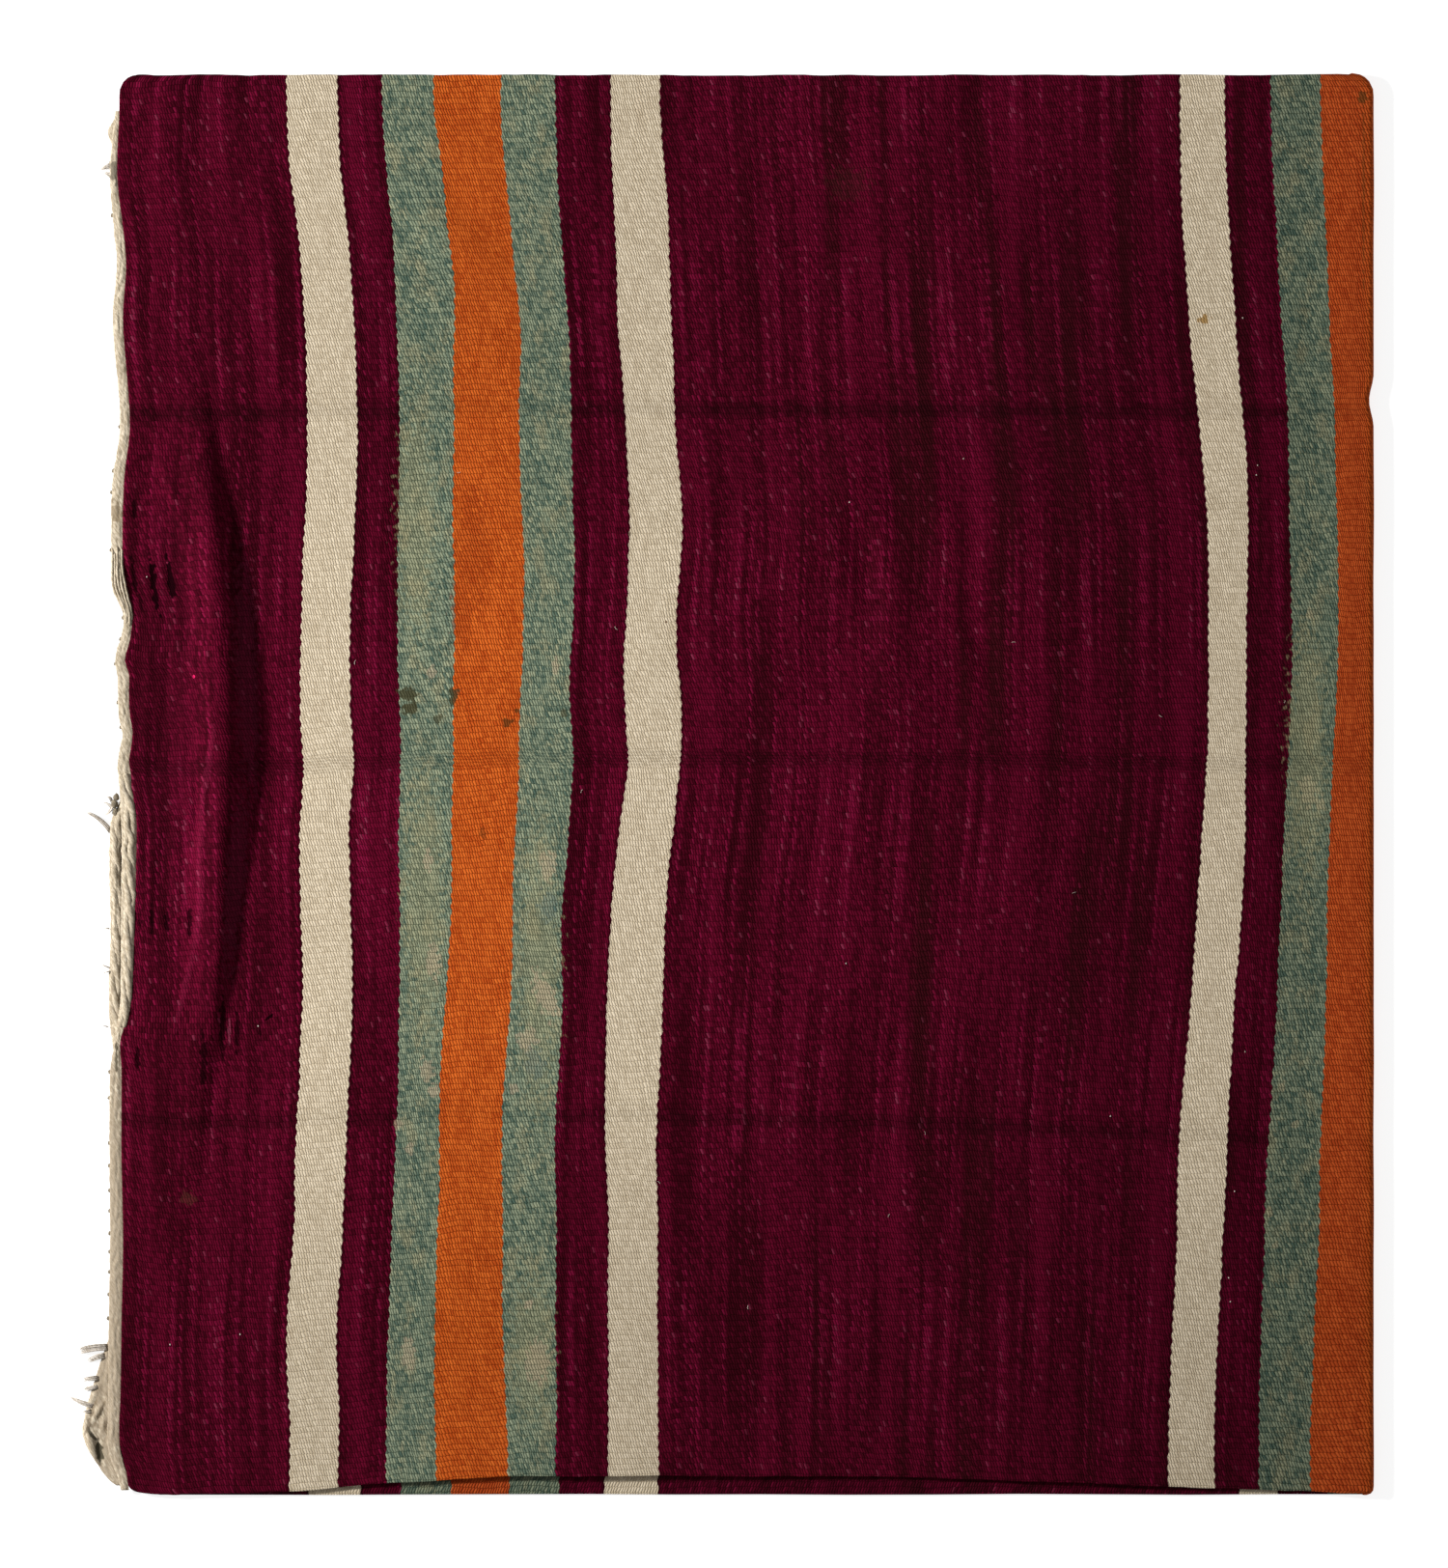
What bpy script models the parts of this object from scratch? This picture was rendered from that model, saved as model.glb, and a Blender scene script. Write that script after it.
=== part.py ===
"""Striped wool blanket, folded once and lying flat.

One woven length is folded in half across its warp. The fold lies at +X, the two warp ends lie
one above the other at -X, and the selvedges run along X at the -Y and +Y sides. Each warp end
is closed by a narrow natural-coloured band with knots and frayed tufts.

Units are metres and +Z is up. The origin is at the bottom centre of the whole blanket.
"""

import math
from bisect import bisect_right
from collections import namedtuple

import bmesh
import bpy
from mathutils import Vector

MM = 0.001

# Size of the folded blanket
FOLDED_WIDTH = 1110 * MM
FOLDED_LENGTH = 1256 * MM
CLOTH_THICKNESS = 2.5 * MM
LAYER_GAP = 2.0 * MM
FOLD_RADIUS = 4.2 * MM
FOLD_SETTLE = 55 * MM
# Where the fold is nipped in a little, seen from above
NOTCH_UP = 968 * MM
NOTCH_HALF_LENGTH = 24 * MM
NOTCH_DEPTH = 4 * MM

# End bands, which stand a little apart from the panel's ends
BAND_THICKNESS = 3.0 * MM
BAND_PARTING = 0.4 * MM
KNOT_REACH = 1.6 * MM

# Corner radii, named by where the corner lies
UPPER_END_TOP_RADIUS = 17 * MM
UPPER_END_BOTTOM_RADIUS = 6 * MM
FOLD_TOP_RADIUS = 17 * MM
FOLD_BOTTOM_RADIUS = 5 * MM

# Distances along the blanket's length are given upwards from its bottom selvedge, and distances
# across it inwards from a datum line along its warp ends.
LEFT_DATUM = -FOLDED_WIDTH / 2
BOTTOM_SELVEDGE = -FOLDED_LENGTH / 2
LOWER_Z = CLOTH_THICKNESS / 2
UPPER_Z = LOWER_Z + CLOTH_THICKNESS + LAYER_GAP

# Spacing of the rows of faces along the length, with finer rows at both selvedges. The end bands
# follow the same rows and have a knot half-way between two of them.
ROW_SPACING = 21.5 * MM
SELVEDGE_ROWS = (0 * MM, 3 * MM, 9 * MM, 18 * MM)
# The upper layer stays level for this far in from its warp end
END_MARGIN = 10 * MM

# Warp ends: where the maroon cloth stops and how wide the end band is there, in millimetres
EndRow = namedtuple("EndRow", "up inset band")
UPPER_END = (
    EndRow(0, 6, 6),
    EndRow(35, 3.4, 10),
    EndRow(79, 1, 11),
    EndRow(144, 2, 12),
    EndRow(221, 3.4, 12),
    EndRow(297, 2, 11),
    EndRow(374, 2, 10.5),
    EndRow(398, 1, 6),
    EndRow(432, 10, 10),
    EndRow(486, 13, 12),
    EndRow(584, 15.5, 14),
    EndRow(639, 8.5, 10),
    EndRow(687, 9.5, 8),
    EndRow(708, 11, 12),
    EndRow(737, 4.7, 9),
    EndRow(778, 11.5, 8.5),
    EndRow(803, 6, 13),
    EndRow(824, 3, 10.5),
    EndRow(895, 4.3, 11),
    EndRow(946, 9.4, 9),
    EndRow(1038, 3.4, 9.5),
    EndRow(1092, 6, 9),
    EndRow(1166, -1.7, 7),
    EndRow(1222, 0, 4),
    EndRow(1256, 0, 4),
)
LOWER_END = (
    EndRow(0, 12, 6),
    EndRow(23, 0, 18),
    EndRow(50, -6, 26),
    EndRow(64, -6, 26.5),
    EndRow(93, -5, 20),
    EndRow(130, -2, 11),
    EndRow(151, 5, 11),
    EndRow(376, 6, 11),
    EndRow(433, 1, 11),
    EndRow(500, 2.5, 11),
    EndRow(593, 2, 10.6),
    EndRow(622, 12, 9.5),
    EndRow(700, 15, 10),
    EndRow(1160, 15, 10),
    EndRow(1194, 4, 11),
    EndRow(1207, 2, 12.5),
    EndRow(1225, 8, 9),
    EndRow(1256, 12, 8),
)

# The two end bands: how far up each one starts and stops, the height of its middle surface and
# the shares of its width at which it has points, from the cloth outwards
Band = namedtuple("Band", "name table start stop middle shares")
BANDS = (
    Band("upper", UPPER_END, 4 * MM, 1224 * MM, UPPER_Z, (0.0, 0.5, 1.0)),
    Band("lower", LOWER_END, 8 * MM, 1232 * MM, BAND_THICKNESS / 2, (0.0, 0.33, 0.66, 1.0)),
)

# Buckle that runs along the upper layer beside its warp end, in millimetres
RidgeRow = namedtuple("RidgeRow", "up crest height")
RIDGE = (
    RidgeRow(300, 34, 0),
    RidgeRow(343, 39, 1),
    RidgeRow(388, 51, 5),
    RidgeRow(421, 56, 8),
    RidgeRow(464, 66, 11),
    RidgeRow(497, 75, 13),
    RidgeRow(573, 75, 16),
    RidgeRow(639, 84, 18),
    RidgeRow(708, 86, 18),
    RidgeRow(763, 80, 14),
    RidgeRow(806, 68, 10),
    RidgeRow(846, 64, 6),
    RidgeRow(882, 50, 2),
    RidgeRow(930, 45, 0),
)
RIDGE_FAR_REACH = 36 * MM

# Edge of the upper layer above the bottom selvedge of the lower one, in millimetres
LiftRow = namedtuple("LiftRow", "across lift")
BOTTOM_LIFT = (
    LiftRow(0, 0),
    LiftRow(150, 3),
    LiftRow(236, 10),
    LiftRow(338, 16),
    LiftRow(660, 16),
    LiftRow(780, 13),
    LiftRow(920, 8),
    LiftRow(1060, 3),
    LiftRow(1110, 2),
)

# Soft swells of the upper layer, in millimetres
Swell = namedtuple("Swell", "across up height half_across half_up")
SWELLS = (
    Swell(650, 870, 3.5, 60, 130),
    Swell(690, 740, 3.0, 55, 130),
    Swell(800, 790, 2.0, 90, 170),
    Swell(430, 15, 3.0, 240, 70),
    Swell(880, 20, 2.0, 160, 60),
    Swell(250, 1100, 1.5, 110, 160),
    Swell(1000, 940, 1.5, 90, 110),
)

# Creases from storage, which cross the upper layer as shallow troughs, in millimetres
Crease = namedtuple("Crease", "up depth half_width")
CREASES = (
    Crease(318, 1.1, 24),
    Crease(641, 0.8, 22),
    Crease(946, 1.2, 26),
)

# Crumpled corner of the lower end band, in millimetres
CRUMPLE_UP = 62 * MM
CRUMPLE_HALF_LENGTH = 48 * MM
CRUMPLE_HEIGHT = 4.5 * MM
CRUMPLE_CREST_SHARE = 0.66
CRUMPLE_HALF_SHARE = 0.33

# Frayed tufts: which band, the height of root and tip along the length, how far each of them
# lies out from the datum line, and the lock's width at its root, in millimetres
Tuft = namedtuple("Tuft", "band root_up root_out tip_up tip_out width")
TUFTS = (
    Tuft("lower", 80, 22, 86, 40, 3.4),
    Tuft("lower", 128, 8, 123, 38, 5.0),
    Tuft("lower", 120, 12, 115, 28, 4.2),
    Tuft("lower", 103, 18, 97, 32, 4.0),
    Tuft("lower", 98, 18, 92, 29, 3.2),
    Tuft("lower", 592, 5, 601, 33, 3.4),
    Tuft("lower", 497, 6, 498, 15, 2.6),
    Tuft("lower", 467, 6, 466, 17, 2.8),
    Tuft("lower", 441, 7, 440, 18, 2.8),
    Tuft("upper", 608, -2, 606, 17, 7.0),
    Tuft("upper", 1170, 5, 1173, 19, 20.0),
    Tuft("upper", 1030, 2, 1027, 12, 3.0),
)
TUFT_HEIGHT = 2.2 * MM
TUFT_TIP_SHARE = 0.3
TUFT_FLOOR_CLEARANCE = 0.05 * MM

# Sections of the panel, in order along its warp, and the number of faces in each
Section = namedtuple("Section", "name steps")
SECTIONS = (
    Section("lower layer", 5),
    Section("fold", 5),
    Section("fold settling", 3),
    Section("middle field", 12),
    Section("far flank of the ridge", 4),
    Section("near flank of the ridge", 5),
    Section("end margin", 1),
)

MAROON = (0.085, 0.006, 0.022)
NATURAL = (0.58, 0.50, 0.35)


def clear_scene():
    """Remove every object, so that the blanket stands alone."""
    for item in list(bpy.data.objects):
        bpy.data.objects.remove(item, do_unlink=True)


def make_material(name, colour, roughness):
    """Return a plain Principled material."""
    material = bpy.data.materials.new(name)
    material.use_nodes = True
    shader = material.node_tree.nodes["Principled BSDF"]
    shader.inputs["Base Color"].default_value = (*colour, 1.0)
    shader.inputs["Roughness"].default_value = roughness
    shader.inputs["Metallic"].default_value = 0.0
    material.diffuse_color = (*colour, 1.0)
    return material


def read_table(rows, column, at):
    """Interpolate a table in millimetres smoothly, and return metres."""
    keys = [row[0] * MM for row in rows]
    values = [getattr(row, column) * MM for row in rows]
    if at <= keys[0]:
        return values[0]
    if at >= keys[-1]:
        return values[-1]
    last = len(keys) - 1
    i = bisect_right(keys, at) - 1

    def slope(k):
        """Return the table's slope at one of its inner rows, and none at its ends."""
        if k in (0, last):
            return 0.0
        return (values[k + 1] - values[k - 1]) / (keys[k + 1] - keys[k - 1])

    span = keys[i + 1] - keys[i]
    t = (at - keys[i]) / span
    start = (1 + 2 * t) * (1 - t) ** 2 * values[i] + t * (1 - t) ** 2 * slope(i) * span
    end = t * t * (3 - 2 * t) * values[i + 1] - t * t * (1 - t) * slope(i + 1) * span
    return start + end


def bump(t):
    """Return a soft hump that is 1 at t = 0 and level with 0 from t = -1 and 1 outwards."""
    return 0.5 * (1 + math.cos(math.pi * min(abs(t), 1.0)))


def corner_cut(distance, radius):
    """Return how far a round corner draws an edge in, at a distance from the corner."""
    if distance >= radius:
        return 0.0
    return radius - math.sqrt(radius ** 2 - (radius - distance) ** 2)


def row_heights():
    """Return the rows of faces from the bottom selvedge to the top one."""
    inner = FOLDED_LENGTH - 2 * SELVEDGE_ROWS[-1]
    count = round(inner / ROW_SPACING)
    middle = [SELVEDGE_ROWS[-1] + inner * k / count for k in range(1, count)]
    top = [FOLDED_LENGTH - up for up in reversed(SELVEDGE_ROWS)]
    return [*SELVEDGE_ROWS, *middle, *top]


ROWS = row_heights()


def along_rows(function, up):
    """Read a function of the height as straight runs between the rows of faces."""
    i = min(max(bisect_right(ROWS, up) - 1, 0), len(ROWS) - 2)
    share = (up - ROWS[i]) / (ROWS[i + 1] - ROWS[i])
    return function(ROWS[i]) * (1 - share) + function(ROWS[i + 1]) * share


def end_edge(table, up):
    """Return where the cloth of a layer stops at its warp end."""
    from_top = FOLDED_LENGTH - up
    cut = corner_cut(from_top, UPPER_END_TOP_RADIUS) + corner_cut(up, UPPER_END_BOTTOM_RADIUS)
    return read_table(table, "inset", up) + cut


def fold_edge(up):
    """Return the middle of the cloth where it turns at the fold."""
    from_top = FOLDED_LENGTH - up
    cut = corner_cut(from_top, FOLD_TOP_RADIUS) + corner_cut(up, FOLD_BOTTOM_RADIUS)
    notch = NOTCH_DEPTH * bump((up - NOTCH_UP) / NOTCH_HALF_LENGTH)
    return FOLDED_WIDTH - CLOTH_THICKNESS / 2 - cut - notch


def upper_height(across, up):
    """Return the height of the upper layer's middle surface."""
    from_fold = fold_edge(up) - FOLD_RADIUS - across
    loop = LOWER_Z + 2 * FOLD_RADIUS - UPPER_Z
    height = UPPER_Z + loop * bump(max(from_fold, 0.0) / FOLD_SETTLE)
    crest = read_table(RIDGE, "crest", up)
    margin = end_edge(UPPER_END, up) + END_MARGIN
    reach = RIDGE_FAR_REACH if across > crest else max(crest - margin, END_MARGIN)
    height += read_table(RIDGE, "height", up) * bump((across - crest) / reach)
    inside = min(max((across - margin) / END_MARGIN, 0.0), 1.0)
    settled = min(max(from_fold / FOLD_SETTLE, 0.0), 1.0)
    for swell in SWELLS:
        near = bump((across - swell.across * MM) / (swell.half_across * MM))
        height += inside * swell.height * MM * near * bump((up - swell.up * MM) / (swell.half_up * MM))
    for crease in CREASES:
        trough = bump((up - crease.up * MM) / (crease.half_width * MM))
        height -= inside * settled * crease.depth * MM * trough
    return height


def section_span(name, up):
    """Return where a section of the panel starts and ends across the blanket."""
    turn = fold_edge(up) - FOLD_RADIUS
    crest = read_table(RIDGE, "crest", up)
    margin = end_edge(UPPER_END, up) + END_MARGIN
    spans = {
        "lower layer": (end_edge(LOWER_END, up), turn),
        "fold": (turn, turn),
        "fold settling": (turn, turn - FOLD_SETTLE),
        "middle field": (turn - FOLD_SETTLE, crest + RIDGE_FAR_REACH),
        "far flank of the ridge": (crest + RIDGE_FAR_REACH, crest),
        "near flank of the ridge": (crest, margin),
        "end margin": (margin, margin - END_MARGIN),
    }
    return spans[name]


def panel_columns():
    """Return the panel's columns as a section's name and the share of it that is passed."""
    columns = [(SECTIONS[0].name, 0.0)]
    for section in SECTIONS:
        columns += [(section.name, k / section.steps) for k in range(1, section.steps + 1)]
    return columns


def panel_point(column, up):
    """Return the middle surface of the folded cloth at one column and height."""
    name, share = column
    start, end = section_span(name, up)
    across = start + (end - start) * share
    lift = 0.0
    if name == "lower layer":
        height = LOWER_Z
    elif name == "fold":
        angle = math.pi * (share - 0.5)
        across += FOLD_RADIUS * math.cos(angle)
        height = LOWER_Z + FOLD_RADIUS * (1 + math.sin(angle))
        lift = share * read_table(BOTTOM_LIFT, "lift", across)
    else:
        height = upper_height(across, up)
        lift = read_table(BOTTOM_LIFT, "lift", across)
    raised = up + lift * (1 - up / FOLDED_LENGTH)
    return Vector((LEFT_DATUM + across, BOTTOM_SELVEDGE + raised, height))


def sheet_mesh(name, columns, rows, place):
    """Map a flat grid of columns and rows through a function and return it as a mesh."""
    bm = bmesh.new()
    bmesh.ops.create_grid(bm, x_segments=len(columns) - 1, y_segments=len(rows) - 1, size=0.5)
    for vertex in bm.verts:
        column = columns[round((vertex.co.x + 0.5) * (len(columns) - 1))]
        row = rows[round((vertex.co.y + 0.5) * (len(rows) - 1))]
        vertex.co = place(column, row)
    for face in bm.faces:
        face.smooth = True
    mesh = bpy.data.meshes.new(name)
    bm.to_mesh(mesh)
    bm.free()
    return mesh


def add_sheet(name, mesh, thickness, material, collection):
    """Give a mesh an equal thickness to both sides and add it as an object."""
    item = bpy.data.objects.new(name, mesh)
    item.data.materials.append(material)
    collection.objects.link(item)
    solid = item.modifiers.new("thickness", "SOLIDIFY")
    solid.thickness = thickness
    solid.offset = 0.0
    return item


def band_stations(band):
    """Return stations along a band as a height and whether a knot sits there."""
    rows = [up for up in ROWS if band.start <= up <= band.stop]
    stations = [(rows[0], False)]
    for below, above in zip(rows, rows[1:]):
        if above - below > ROW_SPACING / 2:
            stations.append(((below + above) / 2, True))
        stations.append((above, False))
    return stations


def band_point(band, share, station):
    """Return a band's middle surface at a share of its width, from the cloth outwards."""
    up, knotted = station
    inner = along_rows(lambda at: end_edge(band.table, at), up) - BAND_PARTING
    width = read_table(band.table, "band", up) + (KNOT_REACH if knotted else 0.0)
    height = band.middle
    if band.name == "lower":
        along = bump((up - CRUMPLE_UP) / CRUMPLE_HALF_LENGTH)
        height += CRUMPLE_HEIGHT * along * bump((share - CRUMPLE_CREST_SHARE) / CRUMPLE_HALF_SHARE)
    return Vector((LEFT_DATUM + inner - width * share, BOTTOM_SELVEDGE + up, height))


def tuft_mesh(tuft, base):
    """Return one frayed lock as a four-sided taper that lies level on its base."""
    root = Vector((LEFT_DATUM - tuft.root_out * MM, BOTTOM_SELVEDGE + tuft.root_up * MM))
    tip = Vector((LEFT_DATUM - tuft.tip_out * MM, BOTTOM_SELVEDGE + tuft.tip_up * MM))
    run = tip - root
    sideways = Vector((-run.y, run.x)).normalized()
    bm = bmesh.new()
    bmesh.ops.create_cube(bm, size=1.0)
    for vertex in bm.verts:
        share = vertex.co.x + 0.5
        scale = 1 - (1 - TUFT_TIP_SHARE) * share
        place = root + run * share + sideways * vertex.co.y * tuft.width * MM * scale
        height = base + (vertex.co.z + 0.5) * TUFT_HEIGHT * scale
        vertex.co = Vector((place.x, place.y, height))
    bmesh.ops.recalc_face_normals(bm, faces=bm.faces)
    mesh = bpy.data.meshes.new("tuft")
    bm.to_mesh(mesh)
    bm.free()
    return mesh


def fuse_tufts(item, band, cutters):
    """Join the tufts of a band to it with Boolean unions."""
    base = band.middle - BAND_THICKNESS / 2 + TUFT_FLOOR_CLEARANCE
    for number, tuft in enumerate(row for row in TUFTS if row.band == band.name):
        lock = bpy.data.objects.new(f"tuft_{band.name}_{number}", tuft_mesh(tuft, base))
        lock.hide_render = True
        lock.display_type = "WIRE"
        cutters.objects.link(lock)
        union = item.modifiers.new(f"tuft {number}", "BOOLEAN")
        union.operation = "UNION"
        union.solver = "EXACT"
        union.object = lock


def build_panel(collection):
    """Build the folded cloth as one solid."""
    mesh = sheet_mesh("panel", panel_columns(), ROWS, panel_point)
    material = make_material("maroon wool", MAROON, 0.9)
    return add_sheet("panel", mesh, CLOTH_THICKNESS, material, collection)


def build_band(band, collection, cutters):
    """Build one end band with its knots and tufts as one solid."""

    def place(share, station):
        """Place one point of this band."""
        return band_point(band, share, station)

    name = f"end_band_{band.name}"
    mesh = sheet_mesh(name, band.shares, band_stations(band), place)
    material = make_material(f"natural wool {band.name}", NATURAL, 0.95)
    item = add_sheet(name, mesh, BAND_THICKNESS, material, collection)
    fuse_tufts(item, band, cutters)
    return item


def centre_on_origin(objects):
    """Move the whole blanket so that its bottom centre is the origin."""
    graph = bpy.context.evaluated_depsgraph_get()
    corners = []
    for item in objects:
        corners += [Vector(corner) for corner in item.evaluated_get(graph).bound_box]
    low = Vector([min(corner[axis] for corner in corners) for axis in range(3)])
    high = Vector([max(corner[axis] for corner in corners) for axis in range(3)])
    shift = Vector((-(low.x + high.x) / 2, -(low.y + high.y) / 2, -low.z))
    for item in bpy.data.objects:
        for vertex in item.data.vertices:
            vertex.co += shift


def main():
    """Build the blanket."""
    clear_scene()
    collection = bpy.data.collections.new("woven_blanket")
    cutters = bpy.data.collections.new("tuft_locks")
    bpy.context.scene.collection.children.link(collection)
    bpy.context.scene.collection.children.link(cutters)
    parts = [build_panel(collection)]
    parts += [build_band(band, collection, cutters) for band in BANDS]
    centre_on_origin(parts)


main()
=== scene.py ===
"""Striped wool blanket, folded once and lying flat on a pale floor, seen from straight above.

The warp runs along X, from its two ends at -X to the fold at +X. The wefts and their stripes run
along Y, from the bottom selvedge to the top one. Heights up the blanket are measured from its
bottom selvedge and distances across it from a datum line along its warp ends. A place on the
cloth itself is given by its distance along the warp from that line, over the fold and back.
"""

import logging
import math
import random
from bisect import bisect_right
from collections.abc import Callable
from dataclasses import dataclass, field
from enum import Enum
from functools import lru_cache
from typing import NamedTuple

import bmesh
import bpy
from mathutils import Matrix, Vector, noise


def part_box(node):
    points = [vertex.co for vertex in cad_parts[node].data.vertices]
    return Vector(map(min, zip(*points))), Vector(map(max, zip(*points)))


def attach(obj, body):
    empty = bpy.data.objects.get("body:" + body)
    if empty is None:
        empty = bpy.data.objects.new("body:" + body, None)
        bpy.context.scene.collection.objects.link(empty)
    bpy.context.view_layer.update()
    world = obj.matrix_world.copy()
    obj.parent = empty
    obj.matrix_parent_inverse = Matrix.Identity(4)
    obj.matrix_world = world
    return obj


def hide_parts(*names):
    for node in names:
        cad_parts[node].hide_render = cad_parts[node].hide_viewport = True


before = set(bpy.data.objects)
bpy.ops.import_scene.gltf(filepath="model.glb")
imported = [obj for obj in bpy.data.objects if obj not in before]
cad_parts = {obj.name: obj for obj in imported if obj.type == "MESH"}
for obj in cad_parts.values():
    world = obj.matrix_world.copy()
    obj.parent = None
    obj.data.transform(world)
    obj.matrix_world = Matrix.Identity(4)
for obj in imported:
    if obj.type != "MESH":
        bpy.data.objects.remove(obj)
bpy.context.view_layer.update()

LOG = logging.getLogger("woven_blanket")
MM = 0.001
Colour = tuple[float, float, float]
Place = Callable[[float, float], Vector]
Socket = bpy.types.NodeSocket
Mesh = bmesh.types.BMesh
Piece = bpy.types.Object
BLACK = (0.0, 0.0, 0.0)


class Fibre(Enum):
    """The yarns of the stripes, which lie on a maroon ground."""

    NATURAL = "natural"
    TEAL = "teal"
    ORANGE = "orange"


class Layer(Enum):
    """The two layers of the folded blanket."""

    UPPER = "upper"
    LOWER = "lower"


class EndRow(NamedTuple):
    """Where the cloth stops at a warp end and how wide its end band is, in millimetres."""

    up: float
    inset: float
    band: float


class RidgeRow(NamedTuple):
    """Where the buckle's crest and the thin pleat beside it run and how high it is, in millimetres."""

    up: float
    crest: float
    height: float
    pleat: float


class Hump(NamedTuple):
    """A soft swell, or a dent where its height is negative, in millimetres.

    Its long axis leans across by lean millimetres for each millimetre up.
    """

    across: float
    up: float
    height: float
    half_across: float
    half_up: float
    lean: float = 0.0


class Crease(NamedTuple):
    """A storage crease that crosses the upper layer as a trough, in millimetres."""

    up: float
    depth: float
    half_width: float
    rise_per_metre: float = 0.0


class Guide(NamedTuple):
    """The course of one stripe edge: its place on the cloth, and points of up and across."""

    cloth: float
    line: tuple[tuple[float, float], ...]


class Stripe(NamedTuple):
    """One stripe of the cloth, from where to where along the warp, in millimetres."""

    fibre: Fibre
    start: float
    stop: float


UPPER_END = tuple(EndRow(*row) for row in (
    (0, 7.5, 6), (14, 6.7, 8), (27, 3.6, 10), (40, 0.6, 10.5), (57, 0, 11), (79, 1, 11), (144, 2, 12),
    (221, 3.4, 12), (297, 2, 11), (374, 2, 10.5), (398, 1, 6), (432, 10, 10), (486, 13, 12),
    (584, 15.5, 14), (600, 15, 14), (622, 11.2, 11), (634, 10.6, 11.9), (647, 8.7, 10.7), (660, 10.6, 10.6),
    (673, 11.9, 9.4), (687, 9.5, 10.3), (708, 8.5, 10), (724, 8.7, 10.7), (737, 5, 8.8), (750, 8.5, 10.5),
    (758, 10, 8.8), (778, 11.5, 8.5), (803, 6, 13), (824, 3, 10.5), (895, 4.3, 11), (946, 9.4, 9),
    (1038, 3.4, 9.5), (1092, 6, 9), (1166, -1.7, 7), (1222, 0, 4), (1256, 0, 4),
))
LOWER_END = tuple(EndRow(*row) for row in (
    (0, 30, 6), (4, 18, 10), (9, 9, 14), (23, 0, 18), (50, -6, 26), (64, -6, 26.5), (93, -5, 20),
    (130, -2, 11), (151, 5, 11), (376, 6, 11), (433, 1, 11), (500, 2.5, 11), (593, 2, 10.6), (622, 12, 9.5),
    (700, 15, 10), (1160, 15, 10), (1194, 4, 11), (1207, 2, 12.5), (1225, 8, 9), (1256, 12, 8),
))
RIDGE = tuple(RidgeRow(*row) for row in (
    (255, 66, 0, 38), (300, 68, 1, 38), (343, 72, 2.5, 40), (388, 76, 4.5, 44), (421, 80, 6.5, 52),
    (464, 83, 9, 62.5), (497, 85, 11.5, 69.5), (536, 87.5, 13.5, 73), (573, 88.5, 15.5, 72.3),
    (604, 90.5, 17.5, 74.3), (639, 92, 19.5, 79), (670, 92, 20.5, 84), (708, 91, 20.5, 81),
    (763, 88.5, 19, 74), (806, 85, 17.5, 69.5), (846, 80.5, 15.5, 61), (882, 76.5, 12, 48),
    (930, 74, 6.5, 34), (960, 73, 3, 28), (990, 72, 0.8, 24), (1015, 72, 0, 22),
))
# Edge of the upper layer above the lower one's bottom selvedge, as across and lift
BOTTOM_LIFT = (
    (0, 6), (8, 4.8), (20, 1.6), (38, 0.2), (60, 0.4), (150, 3), (236, 10), (338, 16), (660, 16), (780, 13),
    (920, 8), (1060, 3), (1110, 2),
)
SWELLS = tuple(Hump(*row) for row in (
    (650, 870, 3.5, 60, 130), (690, 740, 3.0, 55, 130), (800, 790, 2.0, 90, 170), (430, 15, 3.0, 240, 70),
    (880, 20, 2.0, 160, 60), (250, 1100, 1.5, 110, 160), (1000, 940, 1.5, 90, 110),
    (274, 1129, 2.3, 42, 85, -0.9),
))
CREASES = (Crease(330, 1.0, 15, -18), Crease(643, 0.9, 14), Crease(956, 1.3, 16))
# Finer dents and puckers of the upper layer
PUCKERS = tuple(Hump(*row) for row in (
    (13.3, 872, -1.2, 3.5, 16), (13.5, 812, -1.5, 3.2, 20), (30.5, 806, -2.0, 3.6, 20, 0.05),
    (45, 808, -2.2, 4.0, 22, -0.1), (29, 509, -1.2, 3.5, 12), (42, 508, -1.5, 3.5, 15),
    (62.4, 508, -1.3, 3.5, 15), (16, 388, -1.2, 3.5, 11), (133.4, 424, -1.0, 3.2, 9, 1.2),
    (24, 700, 1.2, 7, 90, 0.05), (40, 700, -1.0, 6, 100, 0.1), (52, 880, 1.6, 10, 60, -0.25),
    (69, 605, -2.4, 7, 58, 0.03), (30, 560, 1.0, 8, 60, 0.1), (88, 470, 1.6, 8, 60, 0.1),
    (102, 500, -1.2, 5, 55, 0.0), (659, 818, -3.4, 26, 90, -0.33), (766, 741, -2.4, 18, 60, -0.29),
    (610, 700, -1.2, 22, 80, 0.15), (720, 880, 1.2, 26, 90, -0.3),
))
# Wrinkles and the sharp fold of the lower band's bottom corner
LOWER_WRINKLES = tuple(Hump(*row) for row in (
    (-26, 46, 3.6, 6.5, 34, -0.20), (-20, 72, 2.0, 2.8, 15, 0.55), (-14.5, 62, 1.7, 2.6, 13, 0.15),
    (-24, 84, 1.5, 2.8, 13, 0.50), (-11, 84, 1.2, 2.4, 10, -0.30), (-9, 46, 1.1, 2.4, 11, 0.25),
    (-5, 60, 1.6, 7, 60), (-18, 39, -3.6, 3.4, 15, -0.15), (-24.5, 53, -2.5, 2.4, 9, -0.60),
))
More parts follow.
